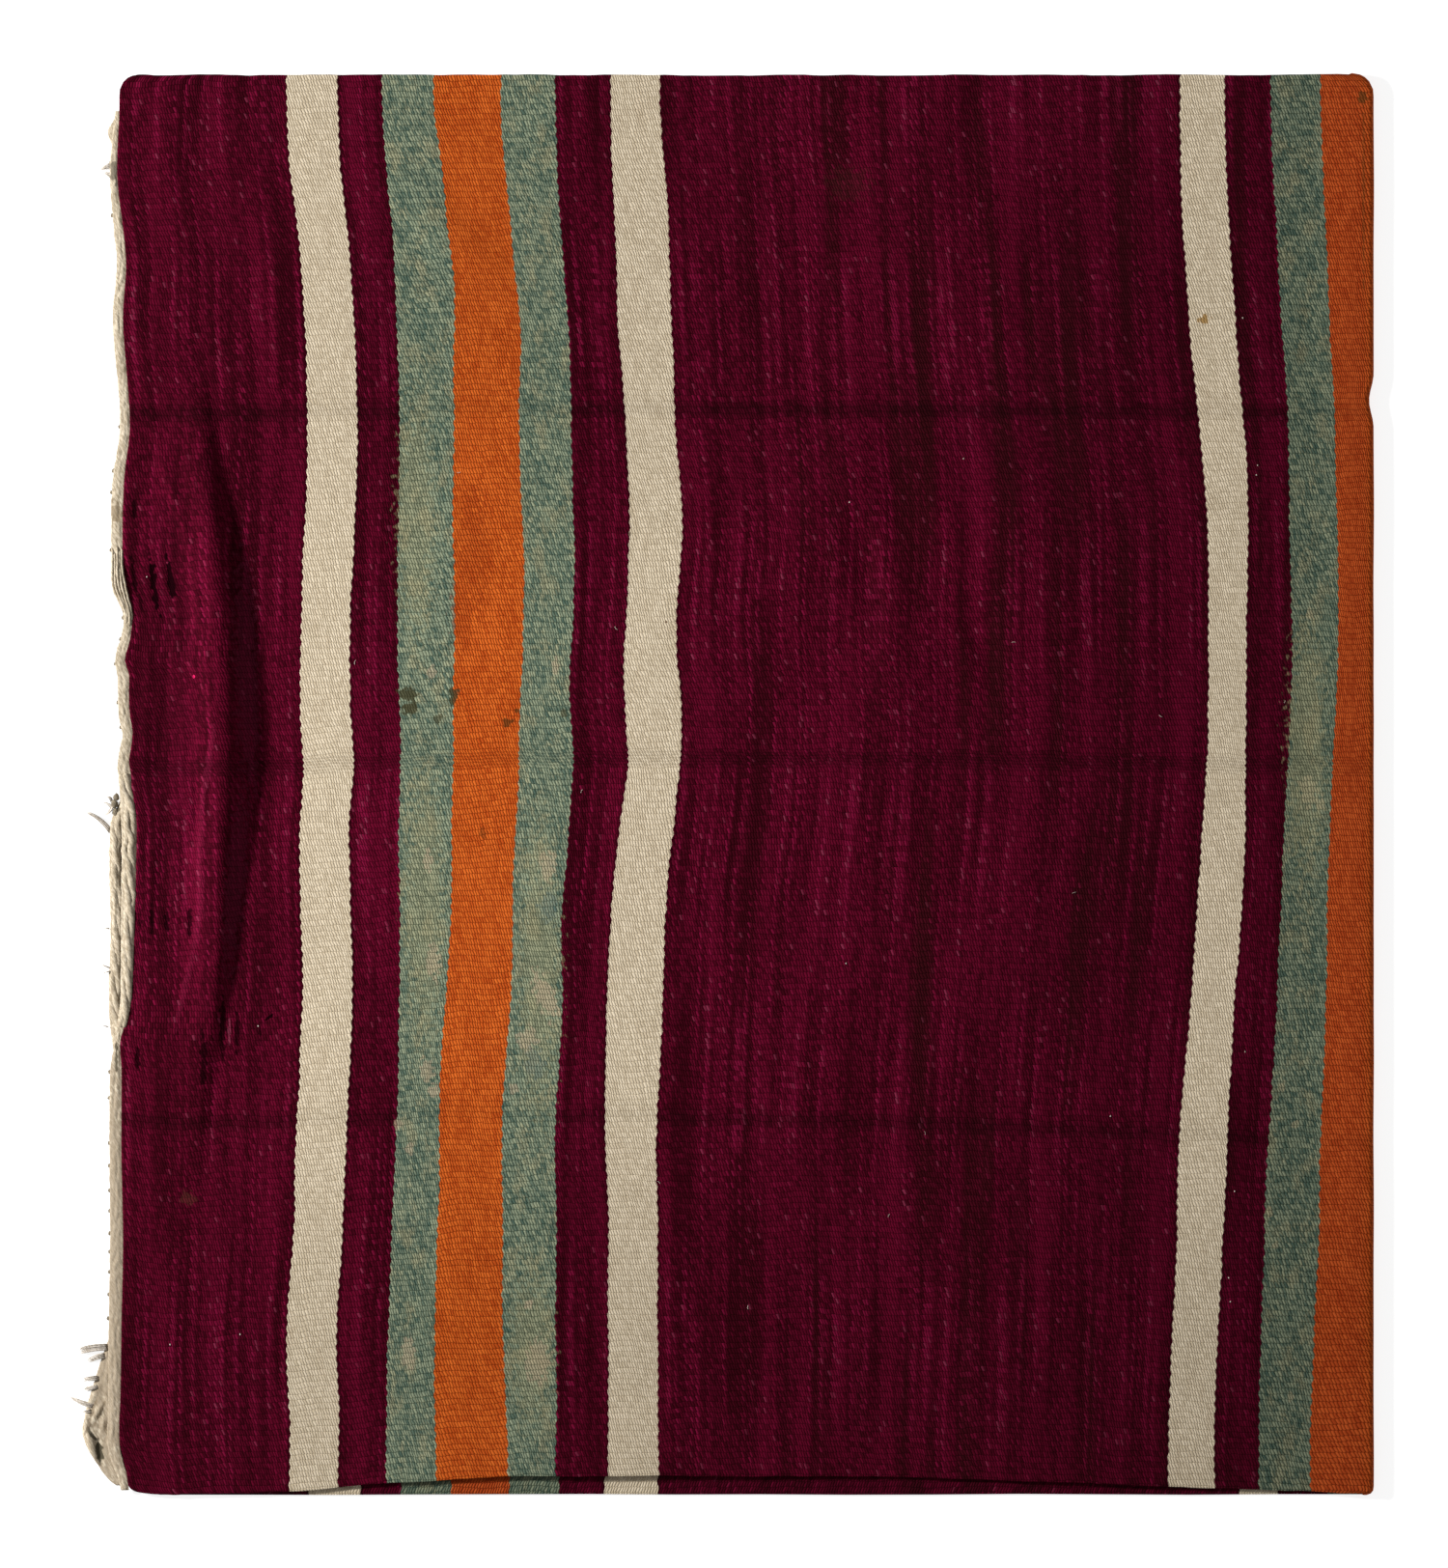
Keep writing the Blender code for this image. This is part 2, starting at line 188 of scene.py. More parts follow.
# Corners, named by where they lie
UPPER_END_TOP_RADIUS = 17 * MM
UPPER_END_BOTTOM_RADIUS = 6 * MM
FOLD_TOP_RADIUS = 17 * MM
FOLD_BOTTOM_RADIUS = 5 * MM

GUIDES = (
    Guide(158, ((6, 150.5), (57, 151.3), (133, 148), (232, 154), (311, 156.5), (377, 160), (464, 162.5),
                (528, 160.7), (584, 159), (639, 163.3), (697, 160.7), (751, 160), (817, 162.5), (893, 166),
                (962, 166.7), (1027, 164), (1114, 159), (1180, 150.5), (1254, 148))),
    Guide(202, ((6, 193.5), (57, 195), (133, 192), (232, 198), (311, 200.5), (377, 204), (464, 206.5),
                (528, 204.7), (584, 203), (639, 207.3), (697, 204.7), (751, 204), (817, 206.5), (893, 210),
                (962, 210.7), (1027, 208), (1114, 203), (1180, 195), (1254, 193))),
    Guide(244, ((15, 236), (382, 247.5), (510, 248), (587, 247.3), (656, 248.8), (775, 246.2), (929, 248),
                (1100, 243), (1180, 236), (1246, 232.6))),
    Guide(290, ((15, 280.4), (126, 278), (254, 283), (339, 283), (510, 293.3), (681, 295.8), (938, 295.8),
                (1066, 295.8), (1160, 287), (1246, 278))),
    Guide(347, ((15, 344.6), (83, 341), (211, 339.4), (339, 340.3), (468, 348), (553, 348.8), (639, 353),
                (810, 358.2), (955, 353), (1023, 355.7), (1109, 347), (1246, 337.7))),
    Guide(393, ((15, 386.5), (200, 386.5), (297, 385.6), (425, 392.4), (502, 391.6), (553, 395.9),
                (596, 399.3), (642, 401.9), (707, 398.4), (775, 402.5), (900, 401), (1000, 399),
                (1246, 385.6))),
    Guide(443, ((15, 432.6), (211, 432.6), (339, 430.1), (502, 434.3), (553, 439.5), (604, 445.5),
                (642, 450.6), (673, 448), (724, 446.3), (775, 448.9), (870, 451.4), (981, 445.5),
                (1041, 441.2), (1246, 435.2))),
    Guide(489, ((15, 477), (126, 477), (297, 475.4), (425, 480.5), (528, 483.9), (596, 492.5),
                (681, 496.8), (767, 492.5), (852, 497.6), (938, 492.5), (1152, 483.9), (1246, 478))),
    Guide(946, ((15, 927.7), (168, 933.7), (314, 938.8), (425, 947.3), (553, 956.7), (681, 963.6),
                (870, 962.7), (955, 954.2), (1041, 945.6), (1246, 938.8))),
    Guide(986, ((15, 968.7), (211, 976.4), (339, 981.5), (425, 985.8), (553, 995.2), (724, 997),
                (912, 997), (1041, 986.7), (1246, 977.3))),
    Guide(1025, ((15, 1008), (254, 1014), (425, 1024.3), (553, 1028.6), (724, 1037), (938, 1033.7),
                 (1109, 1024.3), (1246, 1019.2))),
    Guide(1067, ((15, 1054.2), (254, 1061.9), (425, 1067), (596, 1071.3), (724, 1078.2), (938, 1076.4),
                 (1109, 1068), (1246, 1062.8))),
)
# Teal stripes are listed across the orange ones in their middle, which cover them
STRIPES = tuple(Stripe(fibre, *ends) for fibre, places in (
    (Fibre.NATURAL, ((158, 202), (443, 489), (946, 986), (1198, 1232), (1747, 1794), (2010, 2055))),
    (Fibre.TEAL, ((244, 393), (1025, 1153), (1834, 1974))),
    (Fibre.ORANGE, ((290, 347), (1067, 1127), (1878, 1929))),
) for ends in places)


@dataclass(frozen=True)
class Profile:
    """A smooth curve through a few given values, in millimetres."""

    points: tuple[tuple[float, float], ...]

    @classmethod
    def column(cls, rows: tuple[NamedTuple, ...], name: str) -> "Profile":
        """Take one column of a table, whose first column is the place."""
        return cls(tuple((row[0], getattr(row, name)) for row in rows))

    def at(self, place: float) -> float:
        """Read the curve with a cubic Hermite segment between two of its values.

        Args:
            place: Where to read it, in metres.

        Returns:
            The value there, in metres.
        """
        points = self.points
        x = place / MM
        if x <= points[0][0]:
            return points[0][1] * MM
        if x >= points[-1][0]:
            return points[-1][1] * MM
        i = bisect_right(points, (x, math.inf)) - 1
        (x0, y0), (x1, y1) = points[i], points[i + 1]
        span = x1 - x0
        t = (x - x0) / span
        start = (1 + 2 * t) * (1 - t) ** 2 * y0 + t * (1 - t) ** 2 * self._slope(i) * span
        end = t * t * (3 - 2 * t) * y1 - t * t * (1 - t) * self._slope(i + 1) * span
        return (start + end) * MM

    def _slope(self, k: int) -> float:
        """Return the curve's slope at one of its inner values, and none at its ends."""
        if k in (0, len(self.points) - 1):
            return 0.0
        (x0, y0), (x1, y1) = self.points[k - 1], self.points[k + 1]
        return (y1 - y0) / (x1 - x0)


def bump(t: float) -> float:
    """Return a soft hump that is 1 at t = 0 and level with 0 from t = -1 and 1 outwards."""
    return 0.5 * (1 + math.cos(math.pi * min(abs(t), 1.0)))


def ramp(t: float) -> float:
    """Return a smooth rise from 0 at t = 0 to 1 at t = 1."""
    t = min(max(t, 0.0), 1.0)
    return t * t * (3 - 2 * t)


def drift(x: float, y: float, seed: float) -> float:
    """Return smooth noise of about -1 to 1 at a place counted in its own wavelengths."""
    return noise.noise(Vector((x, y, seed)))


def spread(start: float, stop: float, step: float) -> list[float]:
    """Return evenly spaced values about a step apart, both ends included."""
    count = max(round(abs(stop - start) / step), 1)
    return [start + (stop - start) * k / count for k in range(count + 1)]


@dataclass(frozen=True)
class RowShape:
    """What the folded cloth measures at one height, in metres."""

    upper_end: float
    lower_end: float
    fold: float
    crest: float
    ridge: float
    pleat: float
    guides: tuple[tuple[float, float], ...]


@dataclass(frozen=True)
class ClothForm:
    """The shape of the folded cloth, the same as its solid's, with finer folds on it."""

    width: float = 1110 * MM
    length: float = 1256 * MM
    thickness: float = 2.5 * MM
    layer_gap: float = 2.0 * MM
    fold_radius: float = 4.2 * MM
    fold_settle: float = 55 * MM
    selvedge: float = 20 * MM
    notch_up: float = 968 * MM
    notch_half_length: float = 24 * MM
    notch_depth: float = 4 * MM
    end_margin: float = 10 * MM
    ridge_far_reach: float = 34 * MM
    ridge_full_height: float = 19 * MM
    pleat_half_width: float = 5 * MM
    # Uneven ripples of the upper layer: height, wavelength across and up, and seed
    ripples: tuple[tuple[float, ...], ...] = ((0.45, 95, 80, 4.2), (0.22, 26, 34, 6.4))
    # Places on the cloth: its upper warp end, where it starts to turn and where it has turned
    cloth_start: float = 5 * MM
    cloth_turn: float = 1105 * MM
    datum: float = field(default_factory=lambda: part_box("panel")[1].x - 1110 * MM)
    bottom: float = field(default_factory=lambda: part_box("panel")[0].y)

    @property
    def lower_z(self) -> float:
        """Height of the lower layer's middle."""
        return self.thickness / 2

    @property
    def upper_z(self) -> float:
        """Height of the upper layer's middle where it lies flat."""
        return self.lower_z + self.thickness + self.layer_gap

    @property
    def cloth_turned(self) -> float:
        """Place on the cloth where the fold ends and the lower layer starts."""
        return self.cloth_turn + math.pi * self.fold_radius

    @staticmethod
    def corner_cut(distance: float, radius: float) -> float:
        """Return how far a round corner draws an edge in, at a distance from the corner."""
        if distance >= radius:
            return 0.0
        return radius - math.sqrt(radius**2 - (radius - distance) ** 2)

    def end_edge(self, rows: tuple[EndRow, ...], up: float) -> float:
        """Return how far across the cloth of a layer stops at its warp end, by that layer's table."""
        cut = self.corner_cut(self.length - up, UPPER_END_TOP_RADIUS) + self.corner_cut(up, UPPER_END_BOTTOM_RADIUS)
        return Profile.column(rows, "inset").at(up) + cut

    @lru_cache(maxsize=None)
    def row(self, up: float) -> RowShape:
        """Return what the cloth measures at one height.

        Args:
            up: The height, in metres.

        Returns:
            Its edges, its ridge, and its stripe edges as places on the cloth and across.
        """
        cut = self.corner_cut(self.length - up, FOLD_TOP_RADIUS) + self.corner_cut(up, FOLD_BOTTOM_RADIUS)
        notch = self.notch_depth * bump((up - self.notch_up) / self.notch_half_length)
        waver = 0.5 * MM * drift(up / (70 * MM), 0, 3.1)
        fold = self.width - self.thickness / 2 - cut - notch + waver
        end = self.end_edge(UPPER_END, up)
        guides = [(self.cloth_start, end)]
        for guide in GUIDES:
            tremble = 0.35 * MM * drift(up / (22 * MM), guide.cloth, 8.7)
            guides.append((guide.cloth * MM, Profile(guide.line).at(up) + tremble))
        guides.append((self.cloth_turn, fold - self.fold_radius))
        return RowShape(
            upper_end=end,
            lower_end=self.end_edge(LOWER_END, up),
            fold=fold,
            crest=Profile.column(RIDGE, "crest").at(up),
            ridge=Profile.column(RIDGE, "height").at(up),
            pleat=Profile.column(RIDGE, "pleat").at(up),
            guides=tuple(guides),
        )

    def across_of(self, cloth: float, up: float) -> float:
        """Return how far across a place on the upper layer's cloth lies.

        Args:
            cloth: The place along the warp, in metres.
            up: The height, in metres.

        Returns:
            The distance across, in metres.
        """
        guides = self.row(up).guides
        i = min(max(bisect_right(guides, (cloth, math.inf)) - 1, 0), len(guides) - 2)
        (c0, a0), (c1, a1) = guides[i], guides[i + 1]
        return a0 + (a1 - a0) * (cloth - c0) / (c1 - c0)

    @staticmethod
    def hump_share(hump: Hump, across: float, up: float) -> float:
        """Return how much of a hump's height stands at a place, from 0 to 1."""
        rise = up - hump.up * MM
        aside = across - hump.across * MM - hump.lean * rise
        return bump(aside / (hump.half_across * MM)) * bump(rise / (hump.half_up * MM))

    def upper_height(self, across: float, up: float) -> float:
        """Return the height of the upper layer's middle surface.

        Args:
            across: The distance across, in metres.
            up: The height up the blanket, in metres.

        Returns:
            The height above the floor, in metres.
        """
        row = self.row(up)
        from_fold = row.fold - self.fold_radius - across
        loop = self.lower_z + 2 * self.fold_radius - self.upper_z
        height = self.upper_z + loop * bump(max(from_fold, 0.0) / self.fold_settle)
        margin = row.upper_end + self.end_margin
        reach = self.ridge_far_reach * (0.25 + 0.75 * min(row.ridge / self.ridge_full_height, 1.0))
        if across <= row.crest:
            reach = max(row.crest - margin, self.end_margin)
        t = bump((across - row.crest) / reach)
        height += row.ridge * (0.3 * t + 0.7 * t**5 if across <= row.crest else t)
        pleat = 0.07 * row.ridge + 0.2 * min(row.ridge, 2 * MM)
        height += pleat * bump((across - row.pleat) / self.pleat_half_width)
        inside = min(max((across - margin) / self.end_margin, 0.0), 1.0)
        settled = min(max(from_fold / self.fold_settle, 0.0), 1.0)
        for swell in SWELLS:
            height += inside * swell.height * MM * self.hump_share(swell, across, up)
        for pucker in PUCKERS:
            height += pucker.height * MM * self.hump_share(pucker, across, up)
        for crease in CREASES:
            trough = bump((up / MM - crease.up - crease.rise_per_metre * across) / crease.half_width)
            height -= inside * settled * crease.depth * MM * trough
        pleated = bump((up - 660 * MM) / (330 * MM)) * bump((across - 62 * MM) / (75 * MM))
        height += 1.3 * MM * pleated * drift(across / (9 * MM), up / (70 * MM), 1.7)
        for high, wide, long, seed in self.ripples:
            height += high * MM * drift(across / (wide * MM), up / (long * MM), seed)
        return height

    def selvedge_waver(self, across: float, up: float, layer: Layer) -> float:
        """Return how far a selvedge wavers up or down at a place.

        Args:
            across: The distance across, in metres.
            up: The height, in metres.
            layer: Which layer it is.

        Returns:
            The shift along the blanket's length, in metres.
        """
        seed = 2.3 if layer is Layer.UPPER else 9.1
        share = bump(up / self.selvedge) - bump((self.length - up) / self.selvedge)
        side = seed + (5 if share < 0 else 0)
        waver = 1.1 * drift(across / (42 * MM), 0, side) + 0.5 * drift(across / (12 * MM), 0, side)
        return share * waver * MM

    def point(self, cloth: float, up: float) -> Vector:
        """Return the middle of the cloth at a place on it.

        Args:
            cloth: The place along the warp, in metres.
            up: The height, in metres.

        Returns:
            The point in the row frame.
        """
        if cloth <= self.cloth_turn:
            across = self.across_of(cloth, up)
            return self._raised(across, up, 1.0, self.upper_height(across, up))
        row = self.row(up)
        if cloth <= self.cloth_turned:
            turned = (cloth - self.cloth_turn) / (self.cloth_turned - self.cloth_turn)
            angle = math.pi * (0.5 - turned)
            across = row.fold - self.fold_radius * (1 - math.cos(angle))
            return self._raised(across, up, 1 - turned, self.lower_z + self.fold_radius * (1 + math.sin(angle)))
        turn = row.fold - self.fold_radius
        share = (cloth - self.cloth_turned) / self.cloth_turn
        across = turn + (row.lower_end - turn) * min(share, 1.0)
        waver = self.selvedge_waver(across, up, Layer.LOWER) * ramp(share * 20)
        return Vector((self.datum + across, self.bottom + up + waver, self.lower_z))

    def _raised(self, across: float, up: float, share: float, height: float) -> Vector:
        """Return a point of the upper layer or the fold.

        Args:
            across: The distance across.
            up: The height before its bottom edge is raised above the lower layer's.
            share: The share by which that edge is raised.
            height: The height above the floor.

        Returns:
            The point in the row frame.
        """
        lift = Profile(BOTTOM_LIFT).at(across) * (1 - up / self.length)
        shift = share * (lift + self.selvedge_waver(across, up, Layer.UPPER))
        return Vector((self.datum + across, self.bottom + up + shift, height))


FORM = ClothForm()


class Graph:
    """Adds nodes to one node tree and joins them."""

    def __init__(self, tree: bpy.types.NodeTree) -> None:
        """Keep the tree to work on."""
        self.tree = tree

    def node(self, kind: str, **settings: object) -> bpy.types.Node:
        """Add a node of a kind, with its settings."""
        made = self.tree.nodes.new(kind)
        for name, value in settings.items():
            setattr(made, name, value)
        return made

    def feed(self, socket: Socket, value: object) -> None:
        """Link a value's socket to an input, or set the input to the value.

        Args:
            socket: The input.
            value: A socket, a number, a colour or a vector.
        """
        if isinstance(value, Socket):
            self.tree.links.new(value, socket)
        elif isinstance(value, tuple) and len(value) < len(socket.default_value):
            socket.default_value = (*value, 1.0)
        else:
            socket.default_value = value

    def math(self, operation: str, *values: object) -> Socket:
        """Return the result of one Math node."""
        made = self.node("ShaderNodeMath", operation=operation)
        for socket, value in zip(made.inputs, values):
            self.feed(socket, value)
        return made.outputs[0]

    def plus(self, first: object, second: object) -> Socket:
        """Return the sum of two values."""
        return self.math("ADD", first, second)

    def less(self, first: object, second: object) -> Socket:
        """Return a value less another one."""
        return self.math("SUBTRACT", first, second)

    def times(self, first: object, second: object) -> Socket:
        """Return the product of two values."""
        return self.math("MULTIPLY", first, second)

    def scaled(self, value: object, factor: object, added: object) -> Socket:
        """Return a value times a factor, with something added."""
        return self.math("MULTIPLY_ADD", value, factor, added)

    def mix(self, share: object, first: object, second: object, blend: str = "MIX") -> Socket:
        """Return a mix of two colours, by the share of the second."""
        made = self.node("ShaderNodeMix", data_type="RGBA", blend_type=blend, clamp_factor=True)
        for place, value in ((0, share), (6, first), (7, second)):
            self.feed(made.inputs[place], value)
        return made.outputs[2]

    def step(self, value: object, low: float, high: float, top: float = 1.0) -> Socket:
        """Return a smooth rise from 0 to top, as a value goes from low to high."""
        made = self.node("ShaderNodeMapRange", interpolation_type="SMOOTHSTEP")
        for socket, given in zip(made.inputs, (value, low, high, 0.0, top)):
            self.feed(socket, given)
        return made.outputs[0]

    def vector(self, x: object, y: object, z: object = 0.0) -> Socket:
        """Return a vector of three values."""
        made = self.node("ShaderNodeCombineXYZ")
        for socket, value in zip(made.inputs, (x, y, z)):
            self.feed(socket, value)
        return made.outputs[0]

    def parts(self, vector: Socket) -> tuple[Socket, ...]:
        """Return the three parts of a vector."""
        apart = self.node("ShaderNodeSeparateXYZ")
        self.feed(apart.inputs[0], vector)
        return tuple(apart.outputs)

    def place(self) -> tuple[Socket, ...]:
        """Return the Object coordinates."""
        return self.parts(self.node("ShaderNodeTexCoord").outputs["Object"])

    def cells(self, x: object, y: object, across: float, up: float, z: object = 0.0) -> Socket:
        """Return a vector that counts x and y in patches of a size in millimetres."""
        return self.vector(self.math("DIVIDE", x, across * MM), self.math("DIVIDE", y, up * MM), z)

    def noise(self, vector: object, detail: float = 0.0, roughness: float = 0.5) -> Socket:
        """Return smooth noise from 0 to 1 at a vector counted in patches."""
        made = self.node("ShaderNodeTexNoise")
        for name, value in (("Vector", vector), ("Scale", 1.0), ("Detail", detail), ("Roughness", roughness)):
            self.feed(made.inputs[name], value)
        return made.outputs["Fac"]

    def chance(self, vector: object) -> Socket:
        """Return a random value from 0 to 1 that belongs to a vector."""
        made = self.node("ShaderNodeTexWhiteNoise", noise_dimensions="3D")
        self.feed(made.inputs["Vector"], vector)
        return made.outputs["Value"]

    def group(self, tree: bpy.types.NodeTree, **values: object) -> bpy.types.Node:
        """Place a node group and feed its inputs by name."""
        made = self.node("ShaderNodeGroup", node_tree=tree)
        for name, value in values.items():
            self.feed(made.inputs[name], value)
        return made


class Group:
    """A shader node group that is built once."""

    def __init__(self, name: str, inputs: tuple[str, ...], outputs: tuple[str, ...]) -> None:
        """Make the group with plain number sockets.

        Args:
            name: The group's name.
            inputs: Its inputs.
            outputs: Its outputs.
        """
        self.tree = bpy.data.node_groups.new(name, "ShaderNodeTree")
        for titles, way in ((inputs, "INPUT"), (outputs, "OUTPUT")):
            for title in titles:
                self.tree.interface.new_socket(title, in_out=way, socket_type="NodeSocketFloat")
        self.graph = Graph(self.tree)
        self.inputs = self.graph.node("NodeGroupInput").outputs
        self._outputs = self.graph.node("NodeGroupOutput").inputs

    def give(self, **values: object) -> None:
        """Join the results to the outputs, by name."""
        for name, value in values.items():
            self.graph.feed(self._outputs[name], value)


def build_weave_group() -> bpy.types.NodeTree:
    """Build the weft-faced plain weave: leaning floats, one row on each rib, laid like bricks.

    Returns:
        A group that gives the surface's height, the pick's place, the place with the scallops
        that stripes have along their borders, the rib and the float's chance.
    """
    made = Group("weft-faced weave", ("Across", "Up", "Pitch", "Rib", "Lean", "Scallop"),
                 ("Height", "Centre", "Border", "Row", "Chance"))
    g, given = made.graph, made.inputs
    slow = g.less(g.noise(g.cells(given["Across"], given["Up"], 40, 90)), 0.5)
    quick = g.less(g.noise(g.cells(given["Across"], given["Up"], 6, 16, 3.0)), 0.5)
    across = g.scaled(slow, 3.2 * MM, given["Across"])
    across = g.scaled(quick, 1.3 * MM, across)
    up = g.scaled(slow, 6 * MM, given["Up"])
    up = g.scaled(quick, 1.6 * MM, up)
    ribs = g.math("DIVIDE", up, given["Rib"])
    row = g.math("FLOOR", ribs)
    along = g.less(g.math("FRACT", ribs), 0.5)
    shift = g.math("FRACT", g.times(row, 0.5))
    leaning = g.times(g.times(along, given["Lean"]), given["Rib"])
    picks = g.plus(g.math("DIVIDE", g.plus(across, leaning), given["Pitch"]), shift)
    pick = g.math("FLOOR", picks)
    aside = g.less(g.math("FRACT", picks), 0.5)
    round_across = g.scaled(g.times(aside, aside), -4.0, 1.0)
    square = g.times(along, along)
    round_along = g.math("SQRT", g.scaled(g.times(square, square), -16.0, 1.0))
    swing = g.math("COSINE", g.times(ribs, math.pi))
    height = g.times(g.scaled(round_across, 0.7, 0.3),
                    g.scaled(round_along, 0.75, 0.25))
    made.give(
        Height=height,
        Centre=g.times(g.less(g.plus(pick, 0.5), shift), given["Pitch"]),
        Border=g.scaled(swing, given["Scallop"], across),
        Row=row,
        Chance=g.chance(g.vector(pick, row)),
    )
    return made.tree


def build_stripes_group() -> bpy.types.NodeTree:
    """Build the masks that say which yarn a pick is.

    Returns:
        A group that gives one mask for each stripe yarn, and one for the natural stripes' edges.
    """
    made = Group("stripes", ("Centre",), ("Natural", "Teal", "Orange", "Edge"))
    g, centre = made.graph, made.inputs["Centre"]
    masks: dict[Fibre, object] = {Fibre.NATURAL: 0.0, Fibre.TEAL: 0.0, Fibre.ORANGE: 0.0}
    edge: object = 0.0
    for stripe in STRIPES:
        middle, half = (stripe.start + stripe.stop) / 2 * MM, (stripe.stop - stripe.start) / 2 * MM
        inside = g.math("COMPARE", centre, middle, half)
        masks[stripe.fibre] = g.math("MAXIMUM", masks[stripe.fibre], inside)
        if stripe.fibre is Fibre.NATURAL:
            near = g.math("COMPARE", g.math("ABSOLUTE", g.less(centre, middle)), half, 2.4 * MM)
            edge = g.math("MAXIMUM", edge, near)
    made.give(
        Natural=masks[Fibre.NATURAL],
        Teal=g.less(masks[Fibre.TEAL], masks[Fibre.ORANGE]),
        Orange=masks[Fibre.ORANGE],
        Edge=edge,
    )
    return made.tree


class Mark(NamedTuple):
    """Where a stain or patch lies, by across and up in millimetres. It leans as a hump does."""

    across: float
    up: float
    half_across: float
    half_up: float
    lean: float = 0.0


class Marks(NamedTuple):
    """Stains or patches of one tint and strength."""

    tint: Colour
    strength: float
    places: tuple[tuple[float, ...], ...]


BROWN_STAIN = (0.05, 0.045, 0.02)
RUST_STAIN = (0.10, 0.035, 0.008)
TAN_WEAR = (0.50, 0.385, 0.255)
PALE_WEAR = (0.42, 0.34, 0.20)
RUSTY = (0.30, 0.040, 0.0070)
# Painted fill light that lifts the buckle's cast shadow
PAINTED_SHADOW_FILL = (0.133, 0.012, 0.033)
# Painted shade in the dark slits between puckered wefts, over their dents
SLIT_SHADE = (0.006, 0.0, 0.001)
# Painted highlight along the lit crest of the pleat beside the buckle
PLEAT_HIGHLIGHT = (0.17, 0.008, 0.034)
# Worn and faded patches, with painted light and shade on the buckle: shade on its lit near flank, fill light in its
# cast shadow and highlights along its pleat. All lie under the weave's grooves.
WEAR = (
    Marks(RUSTY, 0.38, ((313, 838, 15, 55), (303, 778, 10, 32))),
    # Painted shade that dims the buckle's lit near flank
    Marks((0.028, 0.0008, 0.0045), 0.34, ((38, 700, 34, 190),)),
    Marks((0.42, 0.36, 0.19), 0.26, (
        (262, 860, 17, 105), (270, 520, 18, 120), (372, 470, 18, 130), (365, 130, 19, 70),
        (1050, 660, 17, 110),
    )),
    Marks(PALE_WEAR, 0.35, (
        (1052, 622, 9, 14), (1062, 612, 5, 7), (1053, 779, 3.5, 6), (1029, 361, 3, 5), (1040, 328, 3.5, 4),
        (1018, 250, 3, 5), (1023, 221, 3.5, 4), (1036, 87, 3, 5),
    )),
    Marks(TAN_WEAR, 0.45, (
        (277, 728, 4, 6), (273, 560, 4.5, 10), (386, 733, 3.5, 8), (361, 403, 10, 10), (349, 359, 4, 5),
        (272, 376, 7, 10), (257, 306, 5, 6), (247, 327, 5, 5), (370, 117, 11, 20), (278, 472, 6, 15),
        (256, 125, 6, 15), (379, 556, 8, 14),
    )),
    Marks(TAN_WEAR, 0.55, ((377, 441, 9, 22, -0.35), (278, 358, 5, 6), (362, 168, 3.5, 4.5))),
    Marks((0.07, 0.14, 0.15), 0.35, ((368, 382, 9, 15), (380, 520, 9, 14))),
    Marks(PAINTED_SHADOW_FILL, 0.4, ((113, 730, 10, 110, -0.03), (103, 540, 9, 80, 0.08))),
    Marks(PLEAT_HIGHLIGHT, 0.32, (
        (80.3, 647, 3.4, 40, 0.16), (73.5, 588, 3.2, 38, 0.06), (72.6, 542, 3.2, 30, -0.046),
        (70.1, 503, 3.2, 30, 0.16), (59.5, 452, 3.2, 40, 0.24),
    )),
)
# Stains, specks, a dark line along the fold's edge, painted shade in the slits and a painted highlight between two
# of them, which lie over all
MARKS = (
    Marks(BROWN_STAIN, 0.88, ((256, 708, 9, 6), (258, 695, 8, 6.5), (296, 706, 3.6, 9))),
    Marks(BROWN_STAIN, 0.65, ((282, 687, 4.5, 4.5), (393, 691, 3.5, 3.5))),
    Marks(RUST_STAIN, 0.8, (
        (344, 683, 4.5, 4), (351, 694, 2.4, 2.4), (1100, 1236, 4.5, 5.5), (484, 772, 1.2, 1.2),
    )),
    Marks(RUST_STAIN, 0.45, ((322, 584, 4, 5),)),
    Marks((0.30, 0.17, 0.05), 0.9, ((959, 1040, 6, 4),)),
    Marks((0.16, 0.045, 0.010), 0.5, ((1100.5, 1150, 1.2, 95),)),
    Marks((0.10, 0.035, 0.02), 0.22, ((61, 262, 7, 7),)),
    Marks((0.035, 0.012, 0.008), 0.22, ((646, 1160, 20, 16),)),
    Marks(SLIT_SHADE, 0.8, (
        (13.3, 872, 2, 11), (13.3, 812, 2.2, 18, -0.14), (29, 509, 2, 12), (42, 508, 2.2, 14),
        (62.4, 508, 2.1, 14), (16, 386, 2.6, 13), (75, 384, 3.2, 24), (91.5, 409, 3, 30),
        (104.3, 409, 2.5, 18),
    )),
    Marks(SLIT_SHADE, 0.97, ((30.8, 806, 3.2, 24, -0.14), (45.7, 808, 3, 23, -0.14), (133.4, 423, 2.4, 4.6, 1.15))),
    Marks(SLIT_SHADE, 0.6, ((18.8, 790, 1.8, 9, -0.14), (18, 508, 1.6, 10), (125, 409, 1.5, 10))),
    # Painted highlight on the bunched yarn between two slits
    Marks((0.20, 0.030, 0.060), 0.6, ((97.5, 410, 1.2, 12),)),
    Marks((0.60, 0.015, 0.10), 0.9, ((66.7, 723.5, 1.3, 1.6),)),
    Marks((0.10, 0.06, 0.04), 0.8, ((452, 850, 1.6, 2.6),)),
)
# Painted shade in the end bands' folds and the crevices between their yarns
BAND_FOLD_SHADE = (0.045, 0.038, 0.022)
BAND_STAIN = (0.20, 0.145, 0.085)
